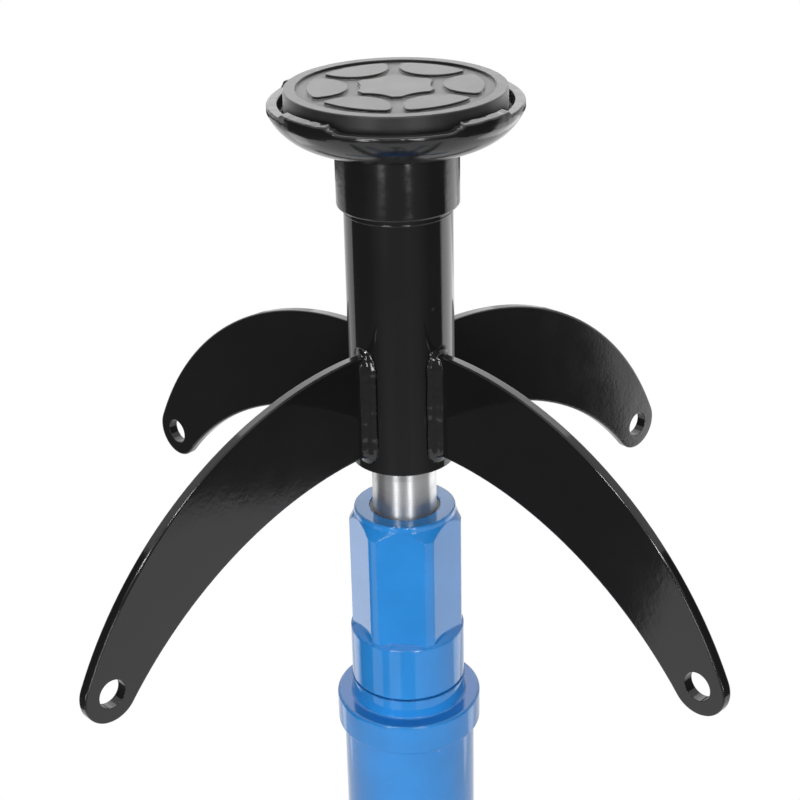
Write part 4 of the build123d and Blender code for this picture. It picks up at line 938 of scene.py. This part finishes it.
def pedal_rubber():
    """Ribbed rubber cover of the pump pedal."""
    low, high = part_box("pedal_tread")
    top = high.z - PEDAL_RIB_H
    sheet = rounded_plate(low.x, high.x, low.y, high.y, PEDAL_CORNER)
    skins = [moulded_block(sheet, low.z, top, 2 * RUBBER_EDGE)]
    rib_left, rib_right = low.x + PEDAL_RIB_INSET, high.x - PEDAL_RIB_INSET
    half = PEDAL_RIB_W / 2
    pitch = (high.y - low.y) / PEDAL_RIBS
    for i in range(PEDAL_RIBS):
        y = low.y + (i + 0.5) * pitch
        rib = rounded_plate(rib_left, rib_right, y - half, y + half, PEDAL_RIB_W * PEDAL_RIB_CORNER)
        skins.append(moulded_block(rib, top - BLOCK_SINK, high.z, 3 * RUBBER_EDGE))
    return dress(merged("pedal_rubber", skins), "pedal", "rubber", MATERIALS["rubber"], "pedal_tread")


# Studio

def around(azimuth, elevation, distance, target):
    """Point at a bearing from a target; azimuth 0 is towards -Y and grows towards +X."""
    a, e = math.radians(azimuth), math.radians(elevation)
    way = Vector((math.sin(a) * math.cos(e), -math.cos(a) * math.cos(e), math.sin(e)))
    return Vector(target) + distance * way


def area_light(name, place, target, size, power, glossy=True, diffuse=True):
    """Rectangular lamp aimed at a point, unseen by the camera and, if asked, by glossy or matt faces."""
    data = bpy.data.lights.new(name, "AREA")
    data.shape = "RECTANGLE"
    data.size, data.size_y = size
    data.energy = power
    lamp = bpy.data.objects.new(name, data)
    lamp.location = place
    lamp.rotation_mode = "QUATERNION"
    lamp.rotation_quaternion = (target - place).to_track_quat("-Z", "Y")
    lamp.visible_camera = False
    lamp.visible_glossy = glossy
    lamp.visible_diffuse = diffuse
    bpy.context.scene.collection.objects.link(lamp)


def plain_world():
    """White surround for the eye and for reflections, and a dimmer even fill for light."""
    world = bpy.data.worlds.new("studio")
    bpy.context.scene.world = world
    world.use_nodes = True
    tree = world.node_tree
    tree.nodes.clear()
    path = put(tree, "ShaderNodeLightPath").outputs
    seen = math_node(tree, "MAXIMUM", path["Is Camera Ray"], path["Is Glossy Ray"])
    seen = math_node(tree, "MAXIMUM", seen, path["Is Transmission Ray"])
    fill = put(tree, "ShaderNodeBackground", {"Color": WHITE, "Strength": FILL_LEVEL})
    white = put(tree, "ShaderNodeBackground", {"Color": WHITE, "Strength": 1.0})
    both = put(tree, "ShaderNodeMixShader", {0: seen, 1: fill.outputs[0], 2: white.outputs[0]})
    put(tree, "ShaderNodeOutputWorld", {"Surface": both.outputs[0]})


def pale_floor():
    """Round pale floor that fades out before its edge."""
    sides = 96
    rings = []
    for radius in (0.02, 0.2, 0.4, FLOOR_R):
        rings.append([(*polar(radius, 360 * i / sides), 0.0) for i in range(sides)])
    verts, faces = closed_rings(rings)
    # The last face would close the outer ring, over the whole floor.
    floor = new_mesh("floor", verts, faces[:-1])
    material, tree, shader = new_material("floor_white", Roughness=0.6, Base_Color=FLOOR_COLOUR,
                                          Emission_Color=WHITE)
    away = vector_node(tree, "LENGTH", object_place(tree))["Value"]
    fade = ramp(tree, away, FLOOR_FADE_R, FLOOR_R, interpolation_type="SMOOTHSTEP")
    path = put(tree, "ShaderNodeLightPath").outputs
    lift = math_node(tree, "MULTIPLY", path["Is Camera Ray"], FLOOR_LIFT)
    tree.links.new(lift, shader.inputs["Emission Strength"])
    mirrored = math_node(tree, "MAXIMUM", path["Is Glossy Ray"], path["Is Transmission Ray"])
    white = put(tree, "ShaderNodeEmission", {"Strength": FLOOR_MIRRORED})
    shown = put(tree, "ShaderNodeMixShader", {0: mirrored, 1: shader.outputs[0], 2: white.outputs[0]})
    clear = put(tree, "ShaderNodeBsdfTransparent")
    both = put(tree, "ShaderNodeMixShader", {0: fade, 1: shown.outputs[0], 2: clear.outputs[0]})
    tree.links.new(both.outputs[0], tree.nodes["Material Output"].inputs["Surface"])
    floor.data.materials.append(material)


def dark_surround():
    """Unlit studio beyond the white sweep, which only reflections show: a floor, and a wall in front."""
    material, tree, shader = new_material("studio_dark", Roughness=0.9, Base_Color=STUDIO_DARK,
                                          Emission_Color=WHITE)
    level = vector_node(tree, "MULTIPLY", object_place(tree), (1.0, 1.0, 0.0))[0]
    way = vector_node(tree, "NORMALIZE", level)[0]
    ahead = vector_node(tree, "DOT_PRODUCT", way, (0.0, -1.0, 0.0))["Value"]
    glow = ramp(tree, ahead, 0.45, 0.8, 0.05, 0.18)
    tree.links.new(glow, shader.inputs["Emission Strength"])
    left_end, right_end = FRONT_WALL
    steps = 180
    verts, faces = [], []
    for i in range(steps):
        bearing = -180.0 + 360.0 * i / steps
        a = math.radians(bearing)
        in_front = left_end < bearing < right_end
        near = SWEEP_FRONT_R if in_front else SWEEP_BACK_R
        if any(start < bearing < end for start, end in SWEEP_PATCHES):
            near = SWEEP_PATCH_R
        for r, z in ((near, -STUDIO_DROP), (STUDIO_R, -STUDIO_DROP), (STUDIO_R, STUDIO_H)):
            verts.append((r * math.sin(a), -r * math.cos(a), z))
        here, after = 3 * i, 3 * ((i + 1) % steps)
        if not right_end <= bearing < BOARD_END:
            faces.append((here, after, after + 1, here + 1))
        if in_front:
            faces.append((here + 1, after + 1, after + 2, here + 2))
    screen = new_mesh("dark_studio", verts, faces)
    screen.data.materials.append(material)
    screen.visible_camera = False
    screen.visible_diffuse = False
    screen.visible_transmission = False
    screen.visible_shadow = False


def studio():
    """Plain soft light: front strips and fill, small glints, panels behind and above, boards on the floor."""
    plain_world()
    pale_floor()
    dark_surround()

    def lamp(name, bearing, size, power, aim=HEAD_AIM, **seen):
        """Lamp at an (azimuth, elevation, distance) from what it is aimed at."""
        area_light(name, around(*bearing, aim), aim, size, power, **seen)

    lamp("front_left_strip", (-28, 0, 2.0), (0.34, 0.56), 7.4, aim=STRIP_AIM)
    lamp("front_right_strip", (20, 0, 2.0), (0.28, 0.56), 7.0, aim=STRIP_AIM)
    lamp("front_fill", (-4, 14, 2.0), (1.2, 0.8), 27.0, glossy=False)
    lamp("left_glint", (-26, 40, 2.2), (0.45, 0.2), 14.0, diffuse=False)
    lamp("right_glint", (18, 40, 2.2), (0.45, 0.2), 14.0, diffuse=False)
    lamp("back_panel", (180, 17, 2.3), (2.4, 0.8), 5.6)
    lamp("top_box", (180, 45, 2.0), (2.2, 1.5), 16.0, diffuse=False)
    lamp("top_fill", (180, 60, 2.0), (1.6, 1.2), 4.0, glossy=False)
    lamp("back_left_box", (-140, 5, 2.0), (0.6, 1.2), 9.0, glossy=False)
    lamp("back_right_box", (140, 5, 2.0), (0.6, 1.2), 9.0, glossy=False)
    up = Vector((0.0, 0.0, 1.0))
    left_board = around(-130, 0, 1.07, (0, 0, 0))
    right_board = Vector((1.62, 1.09, 0.0))
    area_light("left_board", left_board, left_board + up, (0.5, 0.5), 0.66)
    area_light("right_board", right_board, right_board + up, (1.95, 1.62), 10.0)


def camera():
    """Camera where the photograph was taken from."""
    pad_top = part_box("saddle_pad")[1].z
    pitch, roll = math.radians(CAMERA_PITCH_DEG), math.radians(CAMERA_ROLL_DEG)
    forward = Vector((0, math.cos(pitch), -math.sin(pitch)))
    right = Vector((1, 0, 0))
    up = right.cross(forward)
    rolled_right = right * math.cos(roll) + up * math.sin(roll)
    rolled_up = up * math.cos(roll) - right * math.sin(roll)
    stand = Matrix((rolled_right, rolled_up, -forward)).transposed().to_4x4()
    stand.translation = (0, -CAMERA_BACK, pad_top + CAMERA_OVER_PAD)
    data = bpy.data.cameras.new("camera")
    data.sensor_width = SENSOR_MM
    data.lens = FOCAL_PX / PHOTO_PX * SENSOR_MM
    data.shift_x = -AXIS_RIGHT_PX / PHOTO_PX
    data.clip_start = 0.01
    eye = bpy.data.objects.new("camera", data)
    eye.matrix_world = Matrix.Rotation(math.radians(CAMERA_TURN_DEG), 4, "Z") @ stand
    bpy.context.scene.collection.objects.link(eye)
    bpy.context.scene.camera = eye


finish_cad_nodes()
saddle_pad()
saddle_dish()
sleeve_bead()
arm_welds()
base_welds()
pump_spring()
pedal_rubber()
studio()
camera()
bpy.context.scene.view_settings.view_transform = "Standard"
